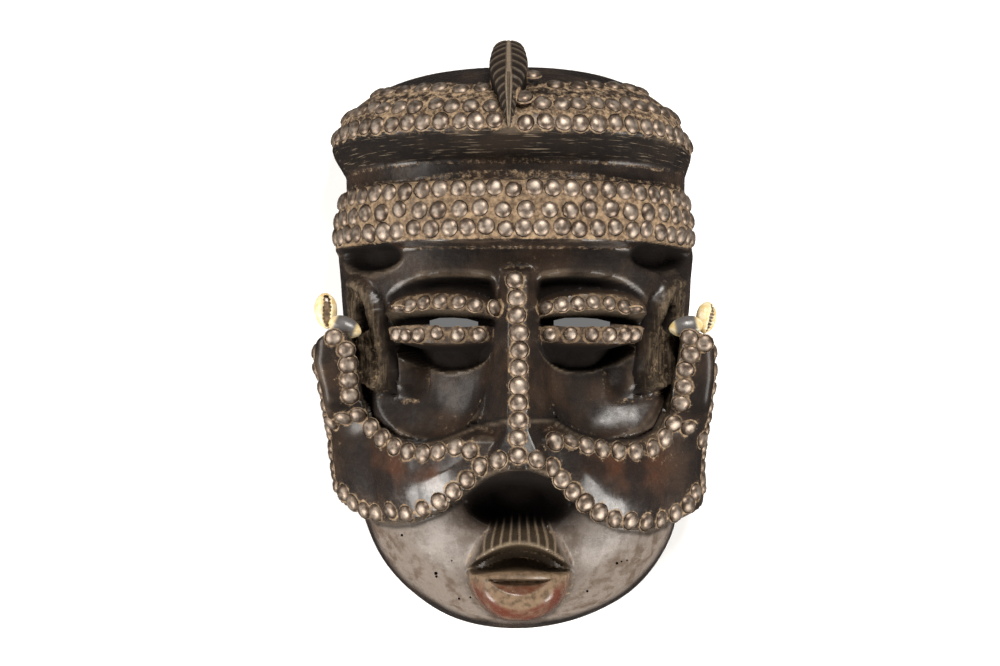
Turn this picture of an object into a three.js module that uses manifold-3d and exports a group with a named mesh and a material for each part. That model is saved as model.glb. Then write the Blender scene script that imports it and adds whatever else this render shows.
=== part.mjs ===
import * as THREE from "three";
import { SimplifyModifier } from "three/addons/modifiers/SimplifyModifier.js";
import { mergeVertices } from "three/addons/utils/BufferGeometryUtils.js";
import Module from "manifold-3d";

// A carved wooden face mask, studded with domed tacks, lying on its back rim. Sizes are millimetres.
// +Y runs from the chin to the crest, +Z points out of the face, and the back rim lies in z = 0.
// The face is a long arch. A place on it is a distance s round the arch from the nose line
// (left of the nose is negative) and a height y, and all carving is a lift off that arch.

// Driving dimensions
const topY = 147;
const chinY = -161.6;
const arcRadius = 88; // turns an angle round the arch into a distance along it
const quarterArc = (arcRadius * Math.PI) / 2;
const wallSpan = 32; // the straight side wall behind the arch
const wallShare = 0.3; // that wall's height, as a share of the depth at the front
const dome = { baseY: 106, rise: 41, leftWidth: 101, rightWidth: 96.5, depthY: 105, depth: 112 };
const brim = { edgeY: 111, neckY: 95 };
const neck = { width: 92.5, depth: 92.5, bottomY: 85 };
const band = {
  topY: 84.5, bottomY: 51.5, bevelY: 47.5, leftWidth: 98.8, rightWidth: 96.8, depth: 110, taper: 3.5,
};
const face = { topWidth: 97.3, jawWidth: 87, depth: 92, jawY: -85 };
const jaw = { length: 76.6, shift: 3 };
const hollow = { y: -9, length: 137, width: 79, depth: 64 };
const nose = { x: 0.8, tipY: -72, sink: 20 };
// Heights [at the corners of the eye, more in its middle] of the eye's edges, from the bag up to the brow
const eye = {
  s: 42, width: 31, bag: [-3, -17.2], lowerFoot: [-2, -3.2], lowerEdge: [3.5, 2.1], slitTop: [6.5, 3],
  lidEdge: [8.5, 5.5], lidTop: [13, 10.4], brow: [15.5, 16.5], browTurn: -0.35, browWidth: 1.4,
};
const cheek = { s: 50, y: -12, nearWidth: 36, farWidth: 44, height: 44, depth: 16, power: 2.3 };
const slits = [{ x: -33.8, y: 6.6, halfLength: 13.2, halfHeight: 2.5 },
  { x: 35.9, y: 6.6, halfLength: 15.4, halfHeight: 2.5 }];
const mouth = { x: 1.9, y: -128.2, radius: 27, edgeDrop: 8, roll: 15 };
const lipGrooves = { count: 10, pitch: 3.8, depth: 1.3 };
const underNose = { x: 1, y: -90, width: 31, height: 17, depth: 16 };
const crest = { x: -4, ribs: 12, root: 14 };
const tack = { radius: 5.2, lidRadius: 4.5, height: 2.6, gap: 0.35 };
const shellGap = 0.35;

const { clamp, lerp } = THREE.MathUtils;

function ease(from, to, value) {
  const share = clamp((value - from) / (to - from), 0, 1);
  return share * share * (3 - 2 * share);
}

// Straight lines between [place, size] stations
function along(stations, place) {
  const next = stations.findIndex((station) => station[0] > place);
  if (next === 0) return stations[0][1];
  if (next < 0) return stations[stations.length - 1][1];
  const [fromPlace, fromSize] = stations[next - 1];
  const [toPlace, toSize] = stations[next];
  return lerp(fromSize, toSize, (place - fromPlace) / (toPlace - fromPlace));
}

// One at the middle of a form, falling to nothing at its end like a superellipse
function roundEnd(share, power) {
  const fill = 1 - Math.pow(clamp(share, 0, 1), power);
  return Math.pow(Math.max(fill, 0), 1 / power);
}

// How far the cap and the bands sag towards the sides
const leftSag = [[30, 0], [50, 7], [85, 9.5], [95, 11.5], [104, 10], [topY, 0]];
const rightSag = [[30, 0], [50, 7], [85, 9], [95, 13], [104, 13], [topY, 0]];

function sag(s, y) {
  const angle = Math.min(Math.abs(s) / arcRadius, Math.PI / 2);
  const size = along(s < 0 ? leftSag : rightSag, y);
  return size * Math.pow(1 - Math.cos(angle), 1.3);
}

// Half-width and front depth of the plain head at a height, before carving
function headSection(y, onLeft) {
  const capWidth = (onLeft ? dome.leftWidth : dome.rightWidth) * roundEnd((y - dome.baseY) / dome.rise, 2.2);
  const capDepth = dome.depth * roundEnd((y - dome.depthY) / (topY - dome.depthY), 2.5);
  if (y > brim.edgeY) return [capWidth, capDepth];
  if (y > brim.neckY) {
    const share = (y - brim.neckY) / (brim.edgeY - brim.neckY);
    return [lerp(neck.width, capWidth, share), lerp(neck.depth, capDepth, share)];
  }
  const raised = ease(neck.bottomY, band.topY - 1.5, y) * ease(band.bevelY, band.bottomY, y);
  const down = (band.bevelY - y) / (band.bevelY - face.jawY);
  const plainWidth = lerp(neck.width, face.topWidth, ease(band.topY, band.bevelY, y));
  const bandWidth = (onLeft ? band.leftWidth : band.rightWidth) - band.taper * ease(66, band.topY, y);
  const bandDepth = band.depth - 6 * Math.pow((band.bottomY + 6 - y) / 33, 2);
  if (y > band.bevelY) return [lerp(plainWidth, bandWidth, raised), lerp(neck.depth, bandDepth, raised)];
  if (y > face.jawY) return [lerp(face.topWidth, face.jawWidth, down), face.depth];
  const share = (face.jawY - y) / jaw.length;
  return [face.jawWidth * roundEnd(share, 2), face.depth * roundEnd(share, 2.6)];
}

// A place on the arch, lifted off it
function archPoint(s, y, [width, depth], lift, shift) {
  const angle = clamp(s / arcRadius, -Math.PI / 2, Math.PI / 2);
  const wall = depth * wallShare;
  const beyond = Math.max(Math.abs(s) - quarterArc, 0) / wallSpan;
  const x = shift + Math.sin(angle) * (width + lift);
  const z = beyond > 0 ? wall * (1 - beyond) : wall + Math.cos(angle) * (depth - wall + lift);
  return new THREE.Vector3(x, y, Math.max(z, 0));
}

function jawShift(y) {
  return jaw.shift * ease(-70, -110, y) * (1 - ease(-140, chinY, y));
}

// How much of a plate's lift widens it: none in front, where its wall stands upright, all at the side
const lean = (away) => ease(95, 128, away);

// The distance round the arch of a point on a plate as it is seen from the front
function roundPlate(x, y, lift) {
  const [width] = headSection(y, x < 0);
  let low = 0;
  let high = quarterArc;
  for (let step = 0; step < 30; step += 1) {
    const middle = (low + high) / 2;
    if (Math.sin(middle / arcRadius) * (width + lift * lean(middle)) < Math.abs(x)) low = middle;
    else high = middle;
  }
  return Math.sign(x) * low;
}

// The larger of two heights, rounded where they meet
function softMax(a, b, width) {
  const share = clamp(0.5 + (b - a) / (2 * width), 0, 1);
  return lerp(a, b, share) + width * share * (1 - share);
}

// Signed distance to a closed outline, negative inside
function outlineDistance(outline, s, y) {
  let nearest = Infinity;
  let inside = false;
  outline.forEach((a, i) => {
    const b = outline[(i + 1) % outline.length];
    const run = b.x - a.x;
    const rise = b.y - a.y;
    const share = clamp(((s - a.x) * run + (y - a.y) * rise) / (run * run + rise * rise), 0, 1);
    nearest = Math.min(nearest, Math.hypot(s - a.x - share * run, y - a.y - share * rise));
    if (a.y > y !== b.y > y && s < a.x + ((y - a.y) / rise) * run) inside = !inside;
  });
  return inside ? -nearest : nearest;
}

// The tusk plates sweep from the nostrils over the cheeks and up to a horn tip at each ear.
// Corner points of the lower edge and the upper edge are as seen from the front.
const outerEdge = quarterArc + 12;
const plates = [
  {
    lift: [[-103, 13], [-76, 12], [-57, 12.5], [-30, 15], [-15, 18], [4, 14.5]],
    lower: [[0, -71.7], [-15.8, -76.6], [-31.6, -89.7], [-44, -97.3], [-58.3, -102.7], [-69.2, -103.8],
      [-82.5, -102.3], [-95.3, -96.2]],
    upper: [[-104, 3.2], [-89.4, 4.2], [-86.7, -5.7], [-85, -16.6], [-84, -33], [-78.5, -47.7], [-63.2, -58],
      [-52.3, -59.7], [-41.4, -57.5], [-20.7, -49.3], [0, -45]],
  },
  {
    lift: [[-103, 15], [-65, 14], [-47, 15], [-25, 16.5], [-14, 16], [4, 13]],
    lower: [[0, -71.7], [19, -76], [26.7, -87], [43, -99.5], [57.2, -105.5], [72.5, -107.6], [85, -103.8],
      [98.6, -97.2]],
    upper: [[102, 3.2], [90, 4.2], [87.2, -5.7], [84.5, -27.5], [82.8, -41], [75.8, -53], [67.6, -57.5],
      [49.6, -59], [32.2, -53.7], [20.8, -46.6], [0, -45]],
  },
];
const frontLift = [[0, 26], [20, 22.5], [40, 18], [60, 14]];
const edgeRoll = [[-60, 3], [-55, 7], [-12, 7], [-4, 3.5]];
const plateWall = 2.2;
const plateBulge = 5;
const horn = {
  fromY: -58, fullY: -36, lowY: -48, tipY: 4, low: 63, high: 85, flatTo: 120, round: 4, roundWidth: 5,
  groove: 3,
};

for (const plate of plates) {
  const side = Math.sign(plate.lower[1][0]);
  const place = ([x, y]) => new THREE.Vector2(roundPlate(x, y, along(plate.lift, y)), y);
  plate.outline = [
    ...plate.lower.map(place),
    new THREE.Vector2(side * outerEdge, -84),
    new THREE.Vector2(side * outerEdge, -8),
    ...plate.upper.map(place),
  ];
}

// How high a plate stands at a place, and how far inside its outline the place lies
function plateLift(s, y) {
  const plate = plates[s < 0 ? 0 : 1];
  const inside = -outlineDistance(plate.outline, s, y);
  if (inside <= 0) return [0, inside];
  const away = Math.abs(s);
  const front = Math.pow(Math.cos(Math.min(away / arcRadius, Math.PI / 2)), 2);
  const size = lerp(along(plate.lift, y), along(frontLift, away), front);
  const rise = Math.sqrt(1 - Math.pow(1 - Math.min(inside / along(edgeRoll, y), 1), 2));
  const inFront = ease(-32, -60, y) * ease(18, 40, away) * ease(124, 100, away);
  const puff = plateBulge * ease(3, 20, inside) * inFront;
  return [size * rise + puff, inside];
}

// The tusks stand further forward up to their tips, flat in front and rounded at the sides
function hornDepth(s, y, inside, depth) {
  const away = Math.abs(s);
  const share = ease(horn.fromY, horn.fullY, y) * ease(quarterArc, quarterArc - 3, away);
  if (share === 0) return depth;
  const top = lerp(horn.low, horn.high, clamp((y - horn.lowY) / (horn.tipY - horn.lowY), 0, 1));
  const wall = face.depth * wallShare;
  const over = clamp((away - horn.flatTo) / (quarterArc - horn.flatTo), 0, 1);
  const edge = horn.round * (1 - Math.sqrt(1 - Math.pow(1 - Math.min(inside / horn.roundWidth, 1), 2)));
  return lerp(depth, wall + (top - wall) * Math.sqrt(1 - over * over) - edge, share);
}

// Height of the nose, and the half-widths of its ridge and its foot, down its length
const noseHeight = [[-78, 34], [-70, 34], [-40, 24], [0, 14], [30, 8], [42, 0]];
const noseRidge = [[-78, 12], [-64, 11.5], [-52, 6], [-30, 5]];
const noseFoot = [[-78, 34], [-60, 30], [-40, 21], [0, 16], [30, 11]];

// Past its foot and its top the nose sinks under whatever is carved beside it
function noseRise(x, y) {
  const away = Math.abs(x - nose.x);
  const bottom = nose.tipY - 5 * Math.pow(away / 16, 2);
  const ridge = along(noseRidge, y);
  const reach = (away - ridge) / (along(noseFoot, y) - ridge);
  const flank = along(noseHeight, y) * Math.pow(1 - clamp(reach, 0, 1), 1.3) * ease(bottom - 3, bottom, y);
  const past = Math.max(ease(0.6, 1.25, reach), ease(33, 46, y), ease(bottom - 2, bottom - 8, y));
  return flank - nose.sink * past;
}

// The eye from below up: the hollow cheek, the dark bag, the lower lid, the slit, the upper lid that
// overhangs it and the hollow under the brow
function eyeLift(s, y) {
  const across = (Math.abs(s) - eye.s) / eye.width;
  const beyond = Math.abs(s) - cheek.s;
  const sideways = Math.abs(beyond / (beyond < 0 ? cheek.nearWidth : cheek.farWidth)) ** cheek.power;
  const within = Math.max(1 - sideways - Math.abs((y - cheek.y) / cheek.height) ** cheek.power, 0);
  const cheekFloor = -cheek.depth * within ** lerp(0.45, 1.1, ease(45, 80, Math.abs(s)));
  const beside = cheekFloor * (1 - ease(-1, 15, y));
  const share = 1 - ease(0.88, 1.06, Math.abs(across));
  if (share === 0) return beside;
  const arched = Math.sqrt(Math.max(1 - across * across, 0));
  const browArched = Math.sqrt(Math.max(1 - Math.pow((across - eye.browTurn) / eye.browWidth, 2), 0));
  const at = ([corner, more]) => corner + more * arched;
  const brow = eye.brow[0] + eye.brow[1] * browArched;
  const underBrow = lerp(-9, -2, ease(0.05, 0.75, across));
  const stations = [
    [at(eye.bag) - 0.6, cheekFloor], [at(eye.bag) + 1.8, -20], [at(eye.lowerFoot) - 4, -17],
    [at(eye.lowerFoot), 2.5], [at(eye.lowerEdge) - 0.8, 4.5], [at(eye.lowerEdge), 4],
    [at(eye.lowerEdge) + 0.6, -7], [at(eye.slitTop) - 0.6, -7], [at(eye.lidEdge) - 0.5, 0.5],
    [at(eye.lidEdge) + 0.3, 6], [at(eye.lidTop) - 1, 2.5], [at(eye.lidTop) + 1.5, underBrow],
    [brow - 3.5, underBrow], [brow + 1.2, 0],
  ];
  for (let i = 1; i < stations.length; i += 1) {
    stations[i][0] = Math.max(stations[i][0], stations[i - 1][0] + 0.4);
  }
  return lerp(beside, along(stations, y), share);
}

// The ear is a low flap with a rim, a pit, and a groove between it and the cheek
const earFlap = [[120, 22], [113, 28.5], [104, 31.5], [94, 31], [85.5, 27], [79.5, 18], [77, 7], [75.5, -7],
  [74, -21], [77, -30], [86, -32], [96, -29], [106, -18], [120, -8]].map(([s, y]) => new THREE.Vector2(s, y));

function earLift(s, y) {
  const away = Math.abs(s);
  const scoop = -10 * (1 - ease(0.55, 1, Math.hypot((away - 90) / 31, (y - 43) / 10.5)));
  const inside = -outlineDistance(earFlap, away, y);
  if (inside < -6) return scoop;
  const rim = inside > 0 ? Math.exp(-Math.pow((inside - 3.6) / 1.8, 2)) : 0;
  const flap = (5 * ease(0, 2.4, inside) + 2.2 * rim) * ease(116, 100, away);
  const pit = -11 * (1 - ease(0.45, 1, Math.hypot((away - 92) / 6, (y - 8) / 9)));
  const groove = -3.5 * Math.exp(-Math.pow((inside + 1.6) / 1.1, 2)) * ease(84, 79, away);
  return scoop + flap + pit + groove;
}

// Front of the pouting mouth from under the lower lip, over its ledge and the open mouth, to the upper
// lip's edge and up into the hollow under the nose: [height, depth]
const mouthProfile = [
  [-156, 102], [-150, 105.5], [-146, 107.5], [-143, 108.5], [-138, 108.5],
  [-133, 107.5], [-130, 106], [-128, 102], [-125, 94], [-121, 89], [-116.5, 90], [-114.3, 101],
  [-113.4, 110.5], [-112.2, 111.5], [-106, 105], [-98, 88], [-92, 70],
];
const lens = { bottom: -141, top: -132.3, halfWidth: 17, curl: 8.5, depth: 8 };

// The depth that the carved face has where the lips and the hollow above them are
function lipDepth(x, y, depth) {
  const across = x - mouth.x;
  const upper = ease(-130, -116, y);
  const reach = Math.hypot(across * lerp(1, 1.18, upper), y - mouth.y) / mouth.radius;
  const dip = Math.hypot((x - underNose.x) / underNose.width, (y - underNose.y) / underNose.height);
  const floor = depth - underNose.depth * (1 - ease(0.45, 1, dip));
  if (reach > 1.3) return floor;
  const arched = y + mouth.edgeDrop * Math.pow(across / 22, 2) * ease(-131, -125, y);
  const bottom = lens.bottom + lens.curl * Math.pow(across / lens.halfWidth, 2);
  const inLens = clamp((y - bottom) / (lens.top - bottom), 0, 1) * (1 - ease(lens.top - 1, lens.top, y));
  const cut = bottom < lens.top ? lens.depth * inLens : 0;
  const overEdge = clamp((reach - 0.72) / 0.32, 0, 1);
  const rolled = mouth.roll * (1 - Math.sqrt(1 - overEdge * overEdge)) * ease(-128, -136, y);
  const wanted = along(mouthProfile, arched) - 10 * Math.pow(across / mouth.radius, 4) - cut - rolled;
  const fading = ease(lerp(0.98, 0.82, upper), lerp(1.08, 1.3, upper), reach);
  return softMax(floor, lerp(wanted, floor - 3 * upper, fading), 3 * upper + 0.01);
}

function outerPoint(s, y) {
  const level = y + sag(s, y);
  const section = headSection(level, s < 0);
  const [lift, inside] = plateLift(s, y);
  const besideHorn = Math.exp(-Math.pow((inside + 1.5) / 1.4, 2)) * ease(-62, -48, y) * (inside < 0);
  const carved = eyeLift(s, y) + earLift(s, y) - horn.groove * besideHorn;
  const point = archPoint(s, y, section, carved, jawShift(y));
  const nearNose = Math.abs(s) <= 70;
  const bridge = nearNose ? archPoint(s, y, section, 0, 0).z + noseRise(point.x, y) : 0;
  if (nearNose) point.z = softMax(point.z, bridge, 3);
  if (nearNose && y < nose.tipY) point.z = lipDepth(point.x, y, point.z);
  if (inside <= 0) return point;
  const raised = archPoint(s, y, section, Math.max(lift, carved), jawShift(y));
  raised.x = archPoint(s, y, section, lift * lean(Math.abs(s)), jawShift(y)).x;
  raised.z = Math.max(hornDepth(s, y, inside, raised.z), bridge);
  return point.lerp(raised, ease(0, plateWall, inside));
}

function innerPoint(s, y) {
  const share = Math.abs(y - hollow.y) / hollow.length;
  const section = [hollow.width * roundEnd(share, 2.4), hollow.depth * roundEnd(share, 2.6)];
  return archPoint(s, y, section, 0, 0);
}

// A closed solid over a fine grid of surface points, with a flat back across the rim, brought down
// to the wanted number of faces, which then lie close where the carving is fine.
async function carvedSolid(pointAt, fromY, toY, { columns, rows, floorZ, wantedFaces }) {
  const points = [];
  for (let row = 0; row <= rows; row += 1) {
    const share = row / rows;
    const eased = 0.55 * share + 0.225 * (1 - Math.cos(Math.PI * share));
    for (let column = 0; column <= columns; column += 1) {
      const s = (quarterArc + wallSpan) * ((2 * column) / columns - 1);
      const point = pointAt(s, lerp(fromY, toY, eased));
      if (column === 0 || column === columns) point.z = floorZ;
      points.push(point);
    }
  }
  const faces = [];
  for (let row = 0; row < rows; row += 1) {
    const start = row * (columns + 1);
    for (let column = 0; column < columns; column += 1) {
      const a = start + column;
      const b = a + columns + 1;
      faces.push(a, a + 1, b + 1, a, b + 1, b);
    }
    const end = start + columns;
    faces.push(start, start + columns + 1, end + columns + 1, start, end + columns + 1, end);
  }
  const dense = geometryOf(solid(points, faces));
  dense.deleteAttribute("normal");
  const surplus = 1 - wantedFaces / (dense.index.count / 3);
  const light = await new SimplifyModifier().modify(dense, dense.attributes.position.count * surplus);
  return solidOf(light);
}

const wasm = await Module();
wasm.setup();

// A closed solid from points and corner numbers
function solid(points, faces) {
  const geometry = new THREE.BufferGeometry().setFromPoints(points);
  geometry.setIndex(faces);
  return solidOf(geometry);
}

// A closed geometry as a solid, with its shared corners merged and its flat faces left out
function solidOf(source) {
  const geometry = source.index ? source.toNonIndexed() : source.clone();
  geometry.deleteAttribute("normal");
  geometry.deleteAttribute("uv");
  const merged = mergeVertices(geometry, 1e-3);
  const corners = merged.index.array;
  const kept = [];
  for (let i = 0; i < corners.length; i += 3) {
    const [a, b, c] = corners.slice(i, i + 3);
    if (a !== b && b !== c && c !== a) kept.push(a, b, c);
  }
  const vertProperties = new Float32Array(merged.attributes.position.array);
  return new wasm.Manifold(new wasm.Mesh({ numProp: 3, vertProperties, triVerts: new Uint32Array(kept) }));
}

function geometryOf(body) {
  const mesh = body.getMesh();
  const geometry = new THREE.BufferGeometry();
  geometry.setAttribute("position", new THREE.BufferAttribute(new Float32Array(mesh.vertProperties), 3));
  geometry.setIndex(new THREE.BufferAttribute(new Uint32Array(mesh.triVerts), 1));
  geometry.computeVertexNormals();
  return geometry;
}

// A row of closed rings of points, each joined to the next, as a solid
function loft(rings) {
  const points = rings.flat();
  const count = rings[0].length;
  const faces = [];
  for (let ring = 0; ring < rings.length - 1; ring += 1) {
    for (let i = 0; i < count; i += 1) {
      const a = ring * count + i;
      const b = ring * count + ((i + 1) % count);
      faces.push(a, b, b + count, a, b + count, a + count);
    }
  }
  const last = (rings.length - 1) * count;
  for (let i = 1; i < count - 1; i += 1) faces.push(0, i + 1, i, last, last + i, last + i + 1);
  return solid(points, faces);
}

// The leaf-shaped crest lies over the front edge of the cap and stands up past its top.
// Its keel runs from the tip on the band, up, over the top and down behind. Each station is
// [height y, depth z, half-width].
const crestKeel = [[112, 113, 0.6], [120, 114, 2.6], [130, 111, 5.2], [140, 105, 8], [149, 94, 10.5],
  [156.5, 79, 9.5], [160, 62, 7.5], [156, 46, 5.5], [147, 34, 3]];

function crestSolid() {
  const keel = new THREE.CatmullRomCurve3(crestKeel.map(([y, z]) => new THREE.Vector3(0, y, z)));
  const rings = [];
  const steps = crest.ribs * 2 + 2;
  for (let step = 0; step <= steps; step += 1) {
    const share = step / steps;
    const place = keel.getPoint(share);
    const run = keel.getTangent(share);
    const out = new THREE.Vector3(0, -run.z, run.y);
    const station = share * (crestKeel.length - 1);
    const low = crestKeel[Math.floor(station)];
    const high = crestKeel[Math.min(Math.floor(station) + 1, crestKeel.length - 1)];
    const rib = step % 2 === 0 ? 1 : 0.88;
    const width = lerp(low[2], high[2], station % 1) * rib;
    const profile = [[-1, -crest.root], [-1, -5], [-0.62, -1.6], [-0.18, 0], [0.18, 0], [0.62, -1.6], [1, -5],
      [1, -crest.root]];
    rings.push(profile.map(([across, down]) => {
      const point = place.clone().addScaledVector(out, down * (0.35 + 0.65 * Math.sin(Math.PI * share)));
      return point.setX(crest.x + across * width);
    }));
  }
  return loft(rings);
}

// The eye slits go right through to the hollow. Their outline is in half-lengths and half-heights.
const slitOutline = [[-1, -0.7], [-0.5, -1], [0.5, -1], [1, -0.8], [1, 0.1], [0.55, 0.75], [0, 1],
  [-0.6, 0.95], [-1, 0.4]];

function slitSolid({ x, y, halfLength, halfHeight }) {
  const corners = slitOutline.map(([across, up]) => new THREE.Vector2(across * halfLength, up * halfHeight));
  const blade = new THREE.ExtrudeGeometry(new THREE.Shape(corners), { depth: 110, bevelEnabled: false });
  blade.translate(x, y, 30);
  return solidOf(blade);
}

// Upright grooves fan out over the upper lip, each a three-sided bar sunk in it
function lipGroove(index) {
  const away = index - (lipGrooves.count - 1) / 2;
  const drop = mouth.edgeDrop * Math.pow((away * lipGrooves.pitch) / 22, 2);
  const ends = [[0.8, -101], [1, -111.6 - drop]].map(([spread, y]) => {
    const x = mouth.x + away * lipGrooves.pitch * spread;
    return new THREE.Vector3(x, y, outerPoint(roundFace(x, y), y).z);
  });
  return loft(ends.map((end) => [[-0.9, 1], [0, -lipGrooves.depth], [0.9, 1]].map(
    ([x, z]) => new THREE.Vector3(end.x + x, end.y, end.z + z))));
}

const outer = await carvedSolid(outerPoint, chinY, topY, {
  columns: 190, rows: 180, floorZ: 0, wantedFaces: 4000,
});
const inner = await carvedSolid(innerPoint, hollow.y - hollow.length, hollow.y + hollow.length, {
  columns: 40, rows: 40, floorZ: -5, wantedFaces: 420,
});
let wood = outer.subtract(inner).add(crestSolid());
for (const slit of slits) wood = wood.subtract(slitSolid(slit));

// Cowrie shells hang at the ears, one beside each ear and one on each horn tip
const shells = [
  { name: "cowrie_left_ear", at: [-103.6, 12.8, 58.5], size: [6.2, 9.8, 5], turn: [0, 0.1, 0.08] },
  { name: "cowrie_left_horn", at: [-93, 4.2, 68.5], size: [5.8, 9.4, 4.8], turn: [Math.PI - 0.3, 0, 1.95] },
  { name: "cowrie_right_ear", at: [103.8, 9.2, 57.5], size: [6, 8.8, 5], turn: [0, 0.75, -0.2] },
  { name: "cowrie_right_horn", at: [92.5, 4.4, 68.5], size: [5.8, 9.4, 4.8],
    turn: [Math.PI - 0.3, 0, -1.75] },
];

function shellSolid(shell, grown) {
  const geometry = new THREE.SphereGeometry(1, 12, 8);
  geometry.rotateX(Math.PI / 2);
  const position = geometry.attributes.position;
  for (let i = 0; i < position.count; i += 1) {
    const point = new THREE.Vector3().fromBufferAttribute(position, i);
    const lips = point.z > 0.3 ? -0.35 * Math.exp(-Math.pow(point.x / 0.2, 2)) : 0;
    const [a, b, c] = shell.size.map((size) => size + grown);
    position.setXYZ(i, point.x * a, point.y * b, (Math.min(point.z, 0.75) + lips) * c);
  }
  geometry.applyQuaternion(new THREE.Quaternion().setFromEuler(new THREE.Euler(...shell.turn)));
  geometry.translate(...shell.at);
  return solidOf(geometry);
}

for (const shell of shells) wood = wood.subtract(shellSolid(shell, shellGap));
for (let index = 0; index < lipGrooves.count; index += 1) wood = wood.subtract(lipGroove(index));

const carvedWood = new THREE.MeshStandardMaterial({ color: 0x2a1c15, roughness: 0.45 });
const shellWhite = new THREE.MeshStandardMaterial({ color: 0xe6dcc0, roughness: 0.35 });
const tackMetal = new THREE.MeshStandardMaterial({ color: 0x6e655c, roughness: 0.45, metalness: 0.7 });
const part = new THREE.Group();

function addPiece(name, body, material) {
  const piece = new THREE.Mesh(geometryOf(body), material);
  piece.name = name;
  part.add(piece);
  return piece;
}

const mask = addPiece("carved_mask", wood, carvedWood);
for (const shell of shells) addPiece(shell.name, shellSolid(shell, 0), shellWhite);

// How high the carved wood stands over a place, along the way out of the face
const ray = new THREE.Raycaster();

function woodHeight(place, out) {
  ray.set(place.clone().addScaledVector(out, 12), out.clone().negate());
  const hit = ray.intersectObject(mask, false)[0];
  return hit ? clamp(12 - hit.distance, -3, 3) : -3;
}

// One cross-section of a row of tacks: two feet just clear of the wood and two shoulders over them
function rowRing({ s, y, point }, ahead, gap, [halfWidth, halfTop, height]) {
  const round = outerPoint(s + 3, y).sub(outerPoint(s - 3, y));
  const up = outerPoint(s, y + 3).sub(outerPoint(s, y - 3));
  const out = round.cross(up).normalize();
  const across = ahead.clone().cross(out).normalize();
  const beside = (share) => point.clone().addScaledVector(across, share * halfWidth);
  const leftHeight = woodHeight(beside(-1), out);
  const rightHeight = woodHeight(beside(1), out);
  let clear = 0;
  for (const share of [-0.6, -0.3, 0, 0.3, 0.6]) {
    for (const step of [-1.2, 0, 1.2]) {
      const under = woodHeight(beside(share).addScaledVector(ahead, step), out);
      clear = Math.max(clear, under - lerp(leftHeight, rightHeight, (share + 1) / 2));
    }
  }
  const left = beside(-1).addScaledVector(out, leftHeight + clear + gap);
  const right = beside(1).addScaledVector(out, rightHeight + clear + gap);
  const inset = (halfWidth - halfTop) / (2 * halfWidth);
  const leftTop = left.clone().lerp(right, inset).addScaledVector(out, height);
  const rightTop = left.clone().lerp(right, 1 - inset).addScaledVector(out, height);
  return [left, leftTop, rightTop, right];
}

// The distance round the face that shows at x when it is seen from the front
function roundFace(x, y) {
  let best = 0;
  let nearest = Infinity;
  for (let share = 0; share <= 1; share += 0.004) {
    const s = Math.sign(x) * share * quarterArc;
    const miss = Math.abs(outerPoint(s, y).x - x);
    if (miss < nearest - 1e-6) {
      nearest = miss;
      best = s;
    }
  }
  return best;
}

// Rows of touching tacks. A row's path is made of places [s, y] on the face.
function tackRow(name, places, radius) {
  const path = new THREE.CatmullRomCurve3(places.map(([s, y]) => new THREE.Vector3(s, y, 0)));
  const samples = path.getPoints(160).map(({ x, y }) => ({ s: x, y, point: outerPoint(x, y) }));
  let length = 0;
  samples.forEach((sample, i) => {
    if (i > 0) length += sample.point.distanceTo(samples[i - 1].point);
    sample.length = length;
  });
  // Each tack is a six-sided dome: narrow where it meets the next, broad across its middle
  const count = Math.round(length / (radius * 2));
  const narrow = [radius * 0.35, radius * 0.15, 0.6];
  const broad = [radius * 0.9, radius * 0.5, tack.height];
  const build = (gap) => {
    const rings = [];
    for (let i = 0; i <= count * 4; i += 1) {
      const wanted = (length * i) / (count * 4);
      const index = Math.max(samples.findIndex((candidate) => candidate.length >= wanted - 1e-6), 1);
      const ahead = samples[index].point.clone().sub(samples[index - 1].point).normalize();
      if (i % 4 !== 2) rings.push(rowRing(samples[index], ahead, gap, i % 4 === 0 ? narrow : broad));
    }
    return loft(rings);
  };
  let gap = tack.gap;
  let row = build(gap);
  while (gap < 3 && row.intersect(wood).volume() > 0) {
    gap += 0.2;
    row = build(gap);
  }
  addPiece(name, row, tackMetal);
}

// Places seen from the front at [x, y], as places on the face
const seen = (places) => places.map(([x, y]) => [roundFace(x, y), y]);

// Places along a band that sags towards the sides, from its height at the middle of the face
const level = (from, to, height) => [0, 0.2, 0.4, 0.6, 0.8, 1].map((share) => {
  const s = lerp(from, to, share);
  let y = height;
  for (let round = 0; round < 8; round += 1) y = height - sag(s, y);
  return [s, y];
});

tackRow("tacks_cap_lower_left", level(-13, -128, 116), tack.radius);
tackRow("tacks_cap_lower_right", level(6, 128, 116), tack.radius);
tackRow("tacks_cap_middle_left", level(-16, -126, 127), tack.radius);
tackRow("tacks_cap_middle_right", level(9, 126, 127), tack.radius);
tackRow("tacks_band_upper", level(-128, 128, 79.5), tack.radius);
tackRow("tacks_band_lower", level(-128, 128, 58), tack.radius);
tackRow("tacks_nose", [[0.8, 34], [0.8, -20], [0.8, -67]], tack.radius);
tackRow("tacks_left_upper_lid", seen([[-65, 12], [-50, 18], [-31, 18.5], [-16, 14]]), tack.lidRadius);
tackRow("tacks_left_lower_lid", seen([[-61, -1.5], [-43, 0.5], [-20, -1.5]]), tack.lidRadius);
tackRow("tacks_right_upper_lid", seen([[18, 16], [33, 18], [49, 17.5], [60, 15]]), tack.lidRadius);
tackRow("tacks_right_lower_lid", seen([[16, 0], [40, -1], [57, -1.5]]), tack.lidRadius);
tackRow("tacks_left_plate_lower", seen([[-17, -70], [-34.3, -84.7], [-50.7, -94.6], [-68, -98], [-91, -91]]),
  tack.radius);
tackRow("tacks_right_plate_lower", seen([[19, -70], [30, -80.9], [44, -94], [62, -100.6], [79, -100.6],
  [94.3, -94]]), tack.radius);
tackRow("tacks_left_plate_upper", seen([[-91, -6], [-90.5, -32.4], [-86, -44], [-74, -55.3], [-59.4, -63],
  [-42, -62], [-29, -60]]), tack.radius);
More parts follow.
